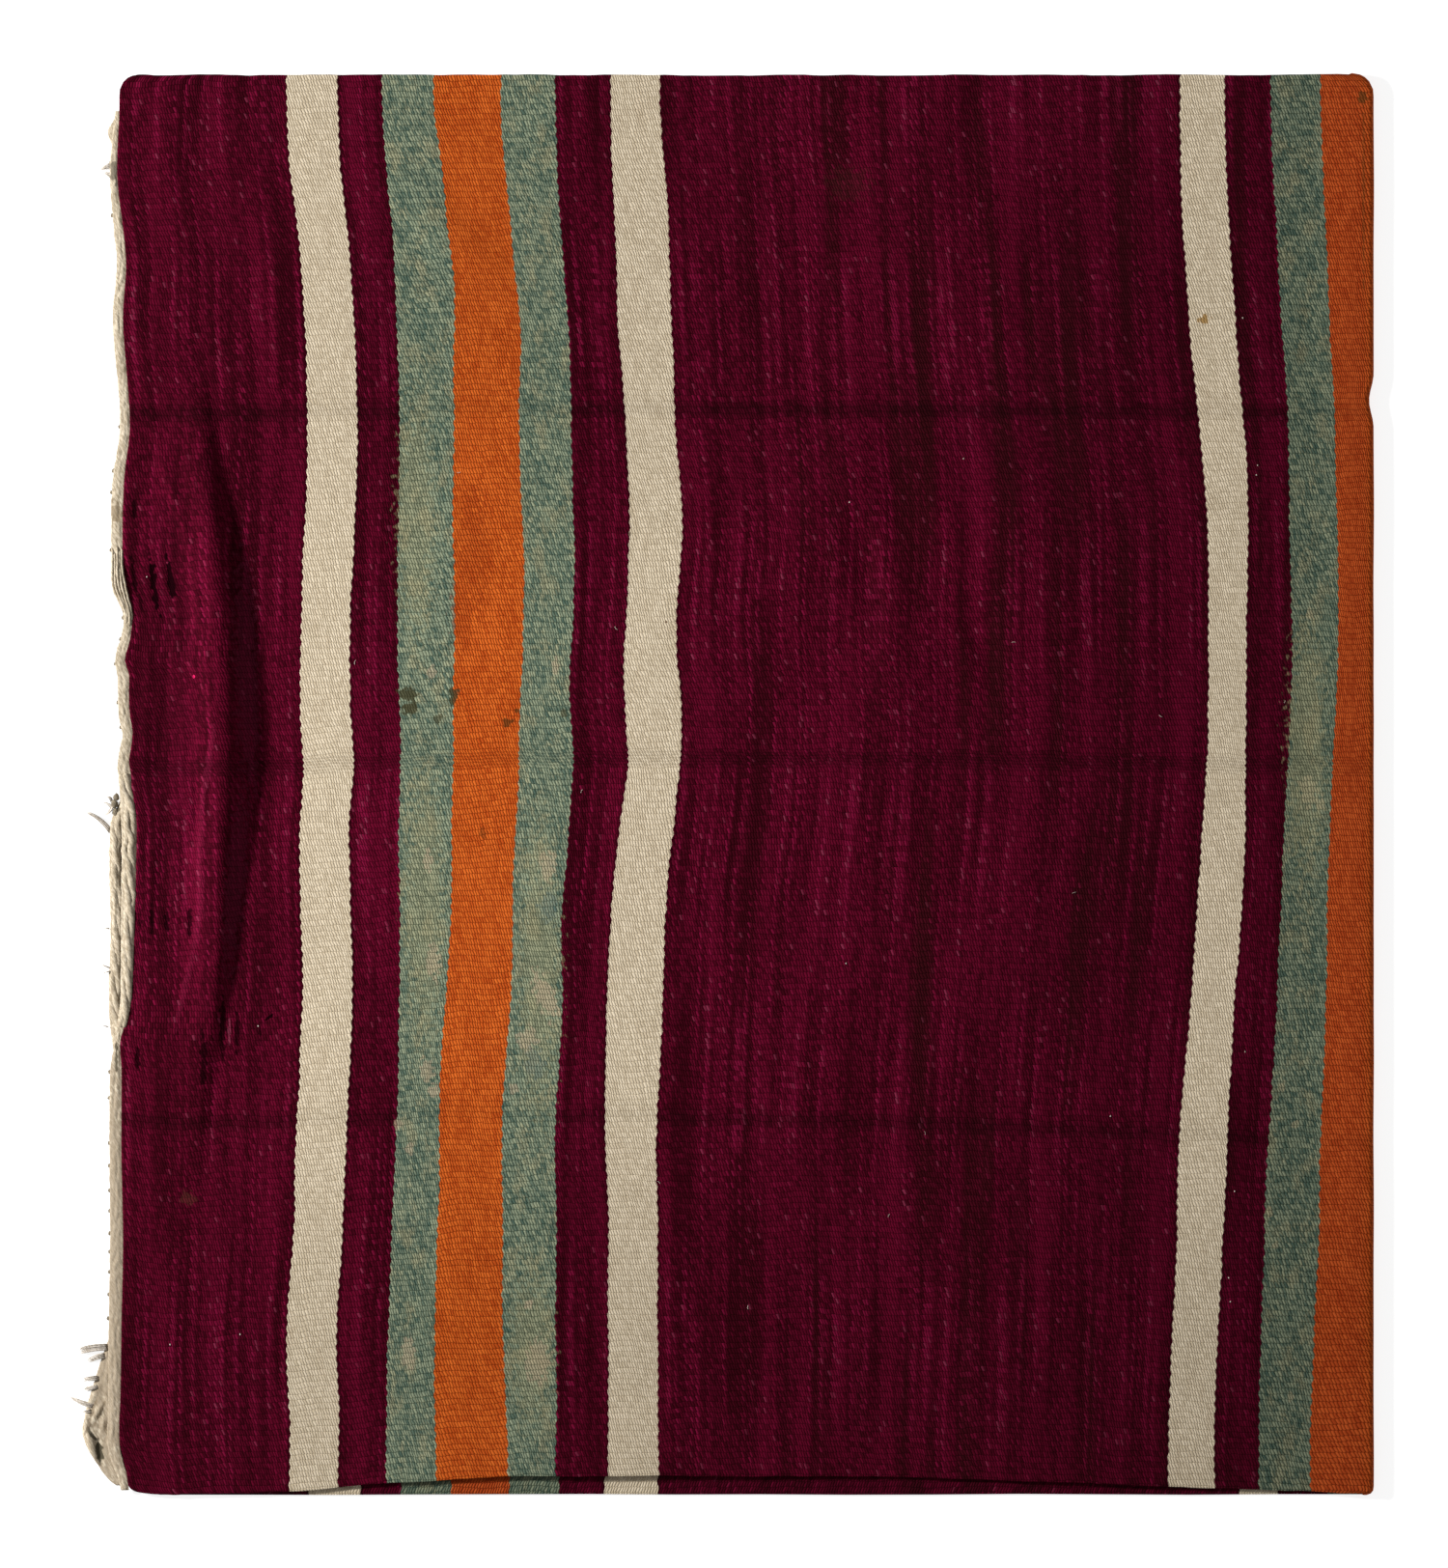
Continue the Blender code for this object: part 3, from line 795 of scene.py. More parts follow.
BAND_MARKS = (
    Marks((0.30, 0.235, 0.165), 0.6, ((-8, 190, 18, 230),)),
    Marks((0.045, 0.034, 0.020), 0.85, ((-4.2, 609, 4.5, 7.5),)),
    Marks(BAND_FOLD_SHADE, 0.9, ((-17.8, 38, 3.4, 11, -0.15),)),
    Marks(BAND_FOLD_SHADE, 0.75, ((-24.5, 53, 2.4, 8, -0.60),)),
    Marks(BAND_STAIN, 0.5, ((-17.5, 72, 1.3, 11, 0.45), (-23.5, 76, 1.3, 9, 0.35))),
    Marks(BAND_STAIN, 0.45, ((-12.5, 58, 1.2, 8, -0.25),)),
    Marks((0.16, 0.12, 0.08), 0.65, ((-27.5, 62, 2, 9, 0.30),)),
    Marks(BAND_STAIN, 0.75, ((-3, 869, 9, 10),)),
    Marks((0.12, 0.10, 0.07), 0.8, ((-4, 1171, 4, 12),)),
    Marks(BAND_FOLD_SHADE, 0.8, ((-2.5, 386, 1.4, 13),)),
    Marks(BAND_FOLD_SHADE, 0.45, ((-3, 520, 1.3, 26, 0.03),)),
    Marks(BAND_FOLD_SHADE, 0.3, ((-1, 578, 1.2, 16, -0.10),)),
)


def raggedness(g: Graph, chance: object) -> Socket:
    """Return what is added to the distance from a mark's middle, for an edge uneven from float to float."""
    x, y, _ = g.place()
    return g.scaled(g.noise(g.cells(x, y, 4, 5, 1.0)), 1.5, g.scaled(chance, 0.3, -0.9))


def marked(g: Graph, base: object, marks: tuple[Marks, ...], ragged: object) -> Socket:
    """Return a colour with stains and worn patches on it, soft-edged and uneven.

    Args:
        g: The material's graph.
        base: The clean colour.
        marks: The marks, in groups that are alike.
        ragged: The unevenness of their edges.

    Returns:
        The marked colour.
    """
    x, y, _ = g.place()
    leaned: dict[float, Socket] = {}
    for alike in marks:
        nearest: object = None
        for mark in (Mark(*place) for place in alike.places):
            if mark.lean not in leaned:
                leaned[mark.lean] = g.vector(g.scaled(y, -mark.lean, x), y)
            up = FORM.bottom + mark.up * MM
            across = FORM.datum + mark.across * MM - mark.lean * up
            per_across, per_up = 1 / (mark.half_across * MM), 1 / (mark.half_up * MM)
            fitted = g.node("ShaderNodeVectorMath", operation="MULTIPLY_ADD")
            g.feed(fitted.inputs[0], leaned[mark.lean])
            fitted.inputs[1].default_value = (per_across, per_up, 0.0)
            fitted.inputs[2].default_value = (-across * per_across, -up * per_up, 0.0)
            far = g.node("ShaderNodeVectorMath", operation="LENGTH")
            g.feed(far.inputs[0], fitted.outputs[0])
            far = far.outputs["Value"]
            nearest = far if nearest is None else g.math("MINIMUM", nearest, far)
        base = g.mix(g.step(g.plus(nearest, ragged), 1.07, 0.74, alike.strength), base, alike.tint)
    return base


class Wool(Graph):
    """The graph of one woollen material."""

    def __init__(self, name: str) -> None:
        """Make the material."""
        self.material = bpy.data.materials.new(name)
        self.material.use_nodes = True
        super().__init__(self.material.node_tree)

    def finish(self, colour: object, height: object, relief: tuple[float, float], roughness: float,
               specular: float) -> bpy.types.Material:
        """Feed the material's shader.

        Args:
            colour: Its colour.
            height: The height of its relief.
            relief: How strong and how high the relief is.
            roughness: Its roughness.
            specular: Its sheen.

        Returns:
            The material.
        """
        shader = self.tree.nodes["Principled BSDF"]
        bumped = self.node("ShaderNodeBump")
        for name, value in (("Strength", relief[0]), ("Distance", relief[1]), ("Height", height)):
            self.feed(bumped.inputs[name], value)
        for name, value in (("Base Color", colour), ("Normal", bumped.outputs[0]), ("Roughness", roughness),
                            ("Specular IOR Level", specular)):
            self.feed(shader.inputs[name], value)
        return self.material


class Threads(NamedTuple):
    """What the yarns' colours follow: the place on the cloth, the pick, the float and noises."""

    graph: Graph
    across: Socket
    up: Socket
    centre: Socket
    rows: Socket
    chance: Socket
    quick: Socket
    grain: Socket
    patch: Socket


@dataclass(frozen=True)
class YarnColours:
    """The colours of one yarn as it lies on the cloth, and the painted groove shade that multiplies them between
    its floats.
    """

    deep: Colour
    light: Colour
    groove_shade: Colour
    fleck: Colour = BLACK

    def shade(self, g: Graph, low: float, high: float, *parts: tuple[object, float]) -> Socket:
        """Return the yarn, which goes from deep to light as a sum goes from low to high.

        Args:
            g: The material's graph.
            low: The sum at which it is deep.
            high: The sum at which it is light.
            parts: What is added up, each with its weight.

        Returns:
            The colour.
        """
        total: object = 0.0
        for value, weight in parts:
            total = g.scaled(value, weight, total)
        return g.mix(g.step(total, low, high), self.deep, self.light)


@dataclass(frozen=True)
class StripedWool:
    """The weft-faced striped cloth: its weave, its yarns and the marks of its age."""

    pitch: float = 2.45 * MM
    rib: float = 4.95 * MM
    lean: float = 0.42
    scallop: float = 0.58 * MM
    relief: tuple[float, float] = (1.0, 0.62 * MM)
    roughness: float = 0.92
    specular: float = 0.02
    maroon: YarnColours = YarnColours(
        (0.034, 0.0009, 0.0048), (0.118, 0.0026, 0.0185), (0.30, 0.28, 0.30), (0.22, 0.034, 0.070))
    natural: YarnColours = YarnColours(
        (0.50, 0.412, 0.290), (0.66, 0.560, 0.416), (0.80, 0.76, 0.68), (0.40, 0.305, 0.200))
    teal: YarnColours = YarnColours(
        (0.068, 0.110, 0.083), (0.285, 0.318, 0.210), (0.13, 0.21, 0.18), (0.43, 0.345, 0.185))
    orange: YarnColours = YarnColours((0.43, 0.066, 0.0090), (0.63, 0.128, 0.0185), (0.32, 0.17, 0.13))
    crimson_beads: Colour = (0.190, 0.0055, 0.036)
    dull_brown: Colour = (0.026, 0.0065, 0.0045)
    deep_wine: Colour = (0.022, 0.0008, 0.0045)
    bluish_teal: Colour = (0.085, 0.155, 0.125)
    rustier: Colour = (0.68, 0.58, 0.84)
    joint_shade: Colour = (0.012, 0.0, 0.002)
    crease_shade: Colour = (0.006, 0.001, 0.0015)

    def material(self) -> bpy.types.Material:
        """Build the cloth's material.

        Returns:
            The material, which reads the cloth's own map.
        """
        g = Wool("striped wool")
        across, up, _ = g.parts(g.node("ShaderNodeUVMap", uv_map="cloth").outputs[0])
        # The ribs are pressed closer at the middle crease
        pressed = g.math("MINIMUM", g.math("MAXIMUM", g.less(up, CREASES[1].up * MM), -8 * MM), 8 * MM)
        weave = g.group(build_weave_group(), Across=across, Up=g.scaled(pressed, 0.8, up), Pitch=self.pitch,
                        Rib=self.rib, Lean=self.lean, Scallop=self.scallop).outputs
        masks = g.group(build_stripes_group(), Centre=weave["Border"]).outputs
        threads = Threads(
            graph=g,
            across=across,
            up=up,
            centre=weave["Centre"],
            rows=g.times(weave["Row"], self.rib),
            chance=weave["Chance"],
            quick=g.noise(g.cells(weave["Centre"], up, 1.7, 24, 5.0)),
            grain=g.noise(g.cells(g.scaled(up, self.lean, across), up, 1.9, 4.6, 11.0)),
            patch=g.noise(g.cells(across, up, 15, 52, 2.0), 1.0, 0.6),
        )
        base = self._crease_shaded(threads, self._maroon(threads), 1.9)
        grooves: object = self.maroon.groove_shade
        for name, yarn, colour in (("Natural", self.natural, self._natural), ("Teal", self.teal, self._teal),
                                   ("Orange", self.orange, self._orange)):
            base = g.mix(masks[name], base, colour(threads))
            grooves = g.mix(masks[name], grooves, yarn.groove_shade)
        ragged = raggedness(g, threads.chance)
        base = marked(g, base, WEAR, ragged)
        # Painted shade: the grooves between the floats are darkened
        base = g.mix(g.step(weave["Height"], 0.10, 0.85), g.mix(1.0, base, grooves, "MULTIPLY"), base)
        # Painted shade along the maroon side of the natural stripes' edges
        joint = g.times(masks["Edge"], g.less(1.0, masks["Natural"]))
        base = g.mix(g.times(joint, 0.45), base, self.joint_shade)
        base = self._crease_shaded(threads, base, 0.4)
        # Painted shade of the light's falloff: the cloth is darker towards the bottom and the top left
        base = g.mix(g.step(up, 430 * MM, 90 * MM, 0.16), base, BLACK)
        top_left_shade = g.times(g.step(up, 700 * MM, 1050 * MM, 0.11), g.step(across, 800 * MM, 300 * MM))
        base = marked(g, g.mix(top_left_shade, base, BLACK), MARKS, ragged)
        return g.finish(base, weave["Height"], self.relief, self.roughness, self.specular)

    def _maroon(self, t: Threads) -> Socket:
        """Return the maroon yarn: long streaks, rows of crimson dashes and a few pale picks.

        Args:
            t: What its colour follows.

        Returns:
            The colour.
        """
        g = t.graph
        broad = g.noise(g.cells(t.centre, t.rows, 26, 380), 1.0, 0.5)
        line = g.noise(g.cells(t.centre, t.rows, 3.0, 230, 4.0))
        dashes = g.noise(g.cells(t.across, t.rows, 12, 5.2, 8.0))
        colour = self.maroon.shade(g, 0.51, 0.87, (broad, 0.48), (line, 0.34), (t.quick, 0.09), (dashes, 0.09),
                                   (t.chance, 0.14), (t.grain, 0.22))
        beaded = g.times(g.step(line, 0.58, 0.72), g.step(dashes, 0.38, 0.62))
        colour = g.mix(g.times(beaded, 0.65), colour, self.crimson_beads)
        picked = g.times(g.step(line, 0.60, 0.72), g.step(broad, 0.47, 0.60))
        picked = g.times(picked, g.step(t.chance, 0.78, 0.96, 0.60))
        stray = g.step(t.chance, 0.990, 0.996, 0.35)
        colour = g.mix(g.math("MAXIMUM", picked, stray), colour, self.maroon.fleck)
        dull = g.times(g.step(broad, 0.50, 0.30, 0.28), g.step(t.across, 500 * MM, 700 * MM))
        colour = g.mix(dull, colour, self.dull_brown)
        return g.mix(g.step(t.across, 560 * MM, 1060 * MM, 0.30), colour, self.deep_wine)

    def _natural(self, t: Threads) -> Socket:
        """Return the undyed yarn, with a little dirt."""
        colour = self.natural.shade(t.graph, 0.30, 0.70, (t.chance, 0.20), (t.quick, 0.35), (t.grain, 0.45))
        return t.graph.mix(t.graph.step(t.patch, 0.55, 0.85, 0.3), colour, self.natural.fleck)

    def _teal(self, t: Threads) -> Socket:
        """Return the teal heather, faded to sage and tan in patches and darker towards the fold.

        Args:
            t: What its colour follows.

        Returns:
            The colour.
        """
        g = t.graph
        worn = g.noise(g.cells(t.across, t.up, 17, 30, 6.0), 1.0, 0.6)
        colour = self.teal.shade(g, 0.32, 0.76, (t.patch, 0.16), (t.chance, 0.26), (t.quick, 0.20),
                                 (t.grain, 0.46))
        colour = g.mix(g.step(worn, 0.47, 0.30, 0.12), colour, self.bluish_teal)
        tan = g.scaled(g.less(t.grain, 0.5), 0.35, worn)
        colour = g.mix(g.step(tan, 0.50, 0.72, 0.28), colour, self.teal.fleck)
        return g.mix(g.step(t.across, 900 * MM, 1000 * MM, 0.30), colour, BLACK)

    def _orange(self, t: Threads) -> Socket:
        """Return the orange yarn, rustier towards the fold, with painted light on its rounded edge at the fold.

        Args:
            t: What its colour follows.

        Returns:
            The colour.
        """
        g = t.graph
        colour = self.orange.shade(g, 0.32, 0.68, (t.chance, 0.20), (t.quick, 0.26), (t.patch, 0.24),
                                   (t.grain, 0.30))
        colour = g.mix(g.step(t.across, 700 * MM, 1110 * MM), colour, self.rustier, "MULTIPLY")
        # Painted light on the fold's rounded edge, which faces away from the key light
        from_fold = g.math("ABSOLUTE", g.less(t.across, 1112 * MM))
        return g.mix(g.step(from_fold, 14 * MM, 4 * MM, 0.28), colour, self.orange.light)

    def _crease_shaded(self, t: Threads, base: object, strength: float) -> Socket:
        """Return a colour with painted shade in dull bands along the storage creases.

        Args:
            t: The place on the cloth.
            base: The colour.
            strength: How dark the painted shade is.

        Returns:
            The colour with the bands.
        """
        g = t.graph
        for crease, dull in zip(CREASES, (0.16, 0.12, 0.20)):
            middle = g.scaled(t.across, crease.rise_per_metre * MM, crease.up * MM)
            far = g.math("ABSOLUTE", g.less(t.up, middle))
            # Painted shade in a band along the crease
            base = g.mix(g.step(far, 11 * MM, 1 * MM, dull * strength), base, self.crease_shade)
        return base


@dataclass(frozen=True)
class NaturalYarn:
    """Undyed wool yarn, with some dirt on it."""

    name: str
    light: Colour
    dark: Colour
    dirt: Colour
    dirt_share: float
    marks: tuple[Marks, ...] = ()

    def material(self) -> bpy.types.Material:
        """Build the yarn's material.

        Returns:
            The material, which reads Object coordinates.
        """
        g = Wool(self.name)
        x, y, z = g.place()
        fibre = g.noise(g.cells(g.scaled(y, 0.55, x), y, 1.5, 5.5, g.math("DIVIDE", z, 2.2 * MM)), 2.0, 0.7)
        patch = g.noise(g.cells(x, y, 14, 22, 3.0), 3.0, 0.6)
        colour = g.mix(g.step(fibre, 0.3, 0.7), self.dark, self.light)
        colour = g.mix(g.step(patch, 0.52, 0.78, self.dirt_share), colour, self.dirt)
        if self.marks:
            colour = marked(g, colour, self.marks, raggedness(g, fibre))
        return g.finish(colour, fibre, (0.8, 0.5 * MM), 0.95, 0.1)


def mapped_grid(bm: Mesh, columns: list[float], rows: list[float], place: Place,
                uv: bmesh.types.BMLayerItem | None = None) -> list[bmesh.types.BMVert]:
    """Add a grid to a mesh and move its points where they belong.

    Args:
        bm: The mesh.
        columns: The value of each column.
        rows: The value of each row.
        place: Gives the point for a column's and a row's value.
        uv: The map that takes those values, if there is one.

    Returns:
        The new points.
    """
    made = bmesh.ops.create_grid(bm, x_segments=len(columns) - 1, y_segments=len(rows) - 1, size=0.5)
    values = {}
    for vertex in made["verts"]:
        column = columns[round((vertex.co.x + 0.5) * (len(columns) - 1))]
        row = rows[round((vertex.co.y + 0.5) * (len(rows) - 1))]
        values[vertex] = (column, row)
    for vertex, (column, row) in values.items():
        vertex.co = place(column, row)
    if uv is not None:
        for face in {face for vertex in made["verts"] for face in vertex.link_faces}:
            for loop in face.loops:
                loop[uv].uv = values[loop.vert]
    return made["verts"]


def add_piece(name: str, bm: Mesh, material: bpy.types.Material) -> Piece:
    """Turn a mesh into a piece of the blanket.

    Args:
        name: The piece's name.
        bm: Its mesh, which is freed.
        material: Its material.

    Returns:
        The piece, which rides on the blanket.
    """
    for face in bm.faces:
        face.smooth = True
    mesh = bpy.data.meshes.new(name)
    bm.to_mesh(mesh)
    bm.free()
    piece = bpy.data.objects.new(name, mesh)
    piece.data.materials.append(material)
    bpy.context.scene.collection.objects.link(piece)
    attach(piece, "root")
    return piece


def give_thickness(piece: Piece, thickness: float) -> None:
    """Give a sheet an equal thickness to both sides."""
    solid = piece.modifiers.new("thickness", "SOLIDIFY")
    solid.thickness = thickness
    solid.offset = 0.0


@dataclass(frozen=True)
class StripedCloth:
    """The folded striped cloth."""

    left_stop: float = 130 * MM
    stripes_stop: float = 420 * MM
    left_step: float = 2.0 * MM
    stripe_step: float = 4.6 * MM
    field_step: float = 8.2 * MM
    fold_steps: int = 10
    lower_steps: int = 14
    row_step: float = 6.35 * MM
    selvedge_rows: tuple[float, ...] = (0.0, 1 * MM, 3 * MM)
    first_even_row: float = 6.5 * MM
    flat_size: tuple[float, float] = (2.21, 1.256)

    def columns(self) -> list[float]:
        """Return the places on the cloth at which the mesh has columns, lower layer first."""
        end = FORM.cloth_turned + FORM.cloth_turn
        lower = [end - (end - FORM.cloth_turned) * k / self.lower_steps for k in range(self.lower_steps)]
        turn = FORM.cloth_turned - FORM.cloth_turn
        fold = [FORM.cloth_turned - turn * k / self.fold_steps for k in range(self.fold_steps)]
        field_part = spread(FORM.cloth_turn, self.stripes_stop, self.field_step)
        stripe_part = spread(self.stripes_stop, self.left_stop, self.stripe_step)
        left_part = spread(self.left_stop, FORM.cloth_start, self.left_step)
        return lower + fold + field_part[:-1] + stripe_part[:-1] + left_part

    def rows(self) -> list[float]:
        """Return the heights of the mesh's rows, which are closer at both selvedges."""
        edge = self.selvedge_rows
        middle = spread(self.first_even_row, FORM.length - self.first_even_row, self.row_step)
        return [*edge, *middle, *(FORM.length - up for up in reversed(edge))]

    def build(self, material: bpy.types.Material) -> Piece:
        """Build the cloth over its solid.

        Args:
            material: The striped wool.

        Returns:
            The piece.
        """
        bm = bmesh.new()
        uv = bm.loops.layers.uv.new("cloth")
        total = FORM.cloth_turned + FORM.cloth_turn
        points = mapped_grid(bm, self.columns(), self.rows(), FORM.point, uv)
        for vertex in points:
            cloth, up = vertex.link_loops[0][uv].uv
            if cloth > FORM.cloth_turned:
                for loop in vertex.link_loops:
                    loop[uv].uv = (total - (vertex.co.x - FORM.datum), up)
        piece = add_piece("striped_cloth", bm, material)
        give_thickness(piece, FORM.thickness)
        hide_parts("panel")
        return piece


@dataclass(frozen=True)
class EndBand:
    """One of the two narrow bands of natural yarn that close the warp ends."""

    layer: Layer
    table: tuple[EndRow, ...]
    start: float
    stop: float
    middle: float
    strand: tuple[float, float]
    wrinkles: tuple[Hump, ...] = ()
    thickness: float = 1.8 * MM
    parting: float = -0.6 * MM
    puff: float = 0.9 * MM
    row_step: float = 2 * MM
    columns: int = 16
    strand_width: float = 17 * MM
    plies: int = 3
    ply_step: float = 1.3 * MM
    ply_radii: tuple[float, float] = (0.6 * MM, 2.9 * MM)
    ply_sides: int = 8
    flatness: float = 0.55
    twist: tuple[float, float] = (75 * MM, 95 * MM)
    slack: tuple[tuple[float, float], ...] = ()
    slack_radius: float = 1.15 * MM
    slack_step: float = 3 * MM

    def width_at(self, up: float) -> float:
        """Return the band's width at a height."""
        return Profile.column(self.table, "band").at(up)

    def point(self, share: float, up: float, height: float = 0.0) -> Vector:
        """Return a point of the band.

        Args:
            share: The share of its width, from the cloth outwards.
            up: The height, in metres.
            height: How far above the band's middle surface, in metres.

        Returns:
            The point in the row frame.
        """
        wavy = 0.5 * MM * drift(up / (5 * MM), 4 * share, 7.3)
        wavy += 0.4 * MM * drift(up / (17 * MM), 2 * share, 1.3)
        inner = FORM.end_edge(self.table, up) - self.parting
        across = inner - self.width_at(up) * share + wavy
        crumple = sum(w.height * MM * FORM.hump_share(w, across, up) for w in self.wrinkles)
        crumple += self.puff * (1 - (2 * share - 1) ** 2) * (1 + 0.9 * drift(up / (7 * MM), 4 * share, 5.9))
        floor = self.thickness / 2 + 0.1 * MM if self.layer is Layer.LOWER else 0.0
        lift = max(self.middle - 0.5 * MM + crumple, floor)
        return Vector((FORM.datum + across, FORM.bottom + up, lift + height))

    def build_cloth(self, material: bpy.types.Material, extras: list[Piece]) -> Piece:
        """Build the band's own strip of cloth over its solid.

        Args:
            material: The natural wool.
            extras: The pieces that go with it; not used.

        Returns:
            The piece.
        """
        bm = bmesh.new()
        uv = bm.loops.layers.uv.new("cloth")
        rows = spread(self.start, self.stop, self.row_step)
        shares = [k / self.columns for k in range(self.columns + 1)]
        mapped_grid(bm, shares, rows, self.point, uv)
        name = f"{self.layer.value}_band_cloth"
        piece = add_piece(name, bm, material)
        give_thickness(piece, self.thickness)
        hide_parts(f"end_band_{self.layer.value}")
        area = sum(self.width_at(up) for up in rows) / len(rows) * (self.stop - self.start)
        widest = max(self.width_at(up) for up in rows)
        return piece

    def build_yarns(self, material: bpy.types.Material, seed: int) -> Piece:
        """Build the twisted strand that runs along the band, and the yarns that lie loose on it.

        Args:
            material: The natural yarn.
            seed: Seeds its small irregularities.

        Returns:
            The piece, all yarns in one mesh.
        """
        bm = bmesh.new()
        rng = random.Random(seed)
        first, last = self.strand
        pitch = rng.uniform(*self.twist)
        start, stop = (first + rng.uniform(0, 4)) * MM, (last - rng.uniform(0, 4)) * MM
        phase = rng.uniform(0, math.tau)
        for ply in range(self.plies):
            self._ply(bm, pitch, spread(start, stop, self.ply_step), phase + math.tau * ply / self.plies)
        for number, (first, last) in enumerate(self.slack):
            self._slack_yarn(bm, (number + 0.6) / (len(self.slack) + 0.2), first * MM, last * MM)
        return add_piece(f"{self.layer.value}_band_yarns", bm, material)

    def _ply(self, bm: Mesh, pitch: float, heights: list[float], phase: float) -> None:
        """Add one ply of the strand.

        Args:
            bm: The mesh.
            pitch: The length of one turn.
            heights: The heights of its points.
            phase: The angle at which it starts.
        """
        path, radii = [], []
        for up in heights:
            width = max(self.width_at(up), 2 * MM)
            wide = min(width, self.strand_width)
            thick = max(wide * (0.30 + 0.06 * drift(up / (9 * MM), phase, 0)), self.ply_radii[0])
            thick = min(thick, self.ply_radii[1])
            swing = wide * 0.21 * (1 + 0.4 * drift(up / (17 * MM), 0, phase))
            angle = phase - math.tau * (up + 7.0 * MM * drift(up / (31 * MM), 0, 2.2)) / pitch
            out = 0.5 * wide + swing * math.cos(angle) + 0.16 * wide * drift(up / (15 * MM), 0, 5.5)
            lift = 0.15 * thick + 0.30 * thick * math.sin(angle)
            path.append(self.point(min(max(out / width, 0.02), 1.05), up, lift))
            path[-1].z = max(path[-1].z, self.flatness * thick + 0.1 * MM)
            radii.append(thick)
        add_tube(bm, path, radii, self.ply_sides, self.flatness)

    def _slack_yarn(self, bm: Mesh, share: float, start: float, stop: float) -> None:
        """Add one straight yarn that lies loose over the strands.

        Args:
            bm: The mesh.
            share: Its share of the band's width.
            start: The height at which it starts.
            stop: The height at which it stops.
        """
        path = []
        for up in spread(start, stop, self.slack_step):
            bow = bump(2 * (up - start) / (stop - start) - 1)
            path.append(self.point(share + 0.05 * (share - 0.4) * bow, up, (1.0 + 2.2 * bow) * MM))
        add_tube(bm, path, [self.slack_radius] * len(path), 6)


def add_tube(bm: Mesh, path: list[Vector], radii: list[float], sides: int,
             flatness: float = 1.0) -> None:
    """Add a closed tube with pointed ends along a path.

    Args:
        bm: The mesh.
        path: The tube's middle line.
        radii: Its radius at each point.
        sides: How many sides it has.
        flatness: Its height as a share of its width.
    """
    last = len(path) - 1
    tangents = [(path[min(i + 1, last)] - path[max(i - 1, 0)]).normalized() for i in range(last + 1)]
    upright = Vector((0, 0, 1))
    frames = []
    for tangent in tangents:
        aside = tangent.cross(upright)
        aside = aside.normalized() if aside.length > 1e-4 else Vector((1, 0, 0))
        frames.append((aside, aside.cross(tangent).normalized()))

    def place(column: float, row: float) -> Vector:
        """Return one point of the tube's wall."""
        i = round(row)
        aside, over = frames[i]
        radius = 0.0 if i in (0, last) else radii[i]
        angle = math.tau * column
        return path[i] + aside * (radius * math.cos(angle)) + over * (flatness * radius * math.sin(angle))

    columns = [k / sides for k in range(sides + 1)]
    points = mapped_grid(bm, columns, [float(i) for i in range(last + 1)], place)
    bmesh.ops.remove_doubles(bm, verts=points, dist=1e-6)


def outside(out: float, up: float, height: float) -> Vector:
    """Return a point by how far out from the datum and up it lies, and its height, in millimetres."""
    return Vector((FORM.datum - out * MM, FORM.bottom + up * MM, height * MM))


class Lock(NamedTuple):
    """A lock of frayed warp ends, in millimetres out from the datum and up."""

    root: tuple[float, float]
    tip: tuple[float, float]
    width: float
    hairs: int
    sag: float = 0.0
    tip_width: float = 0.25


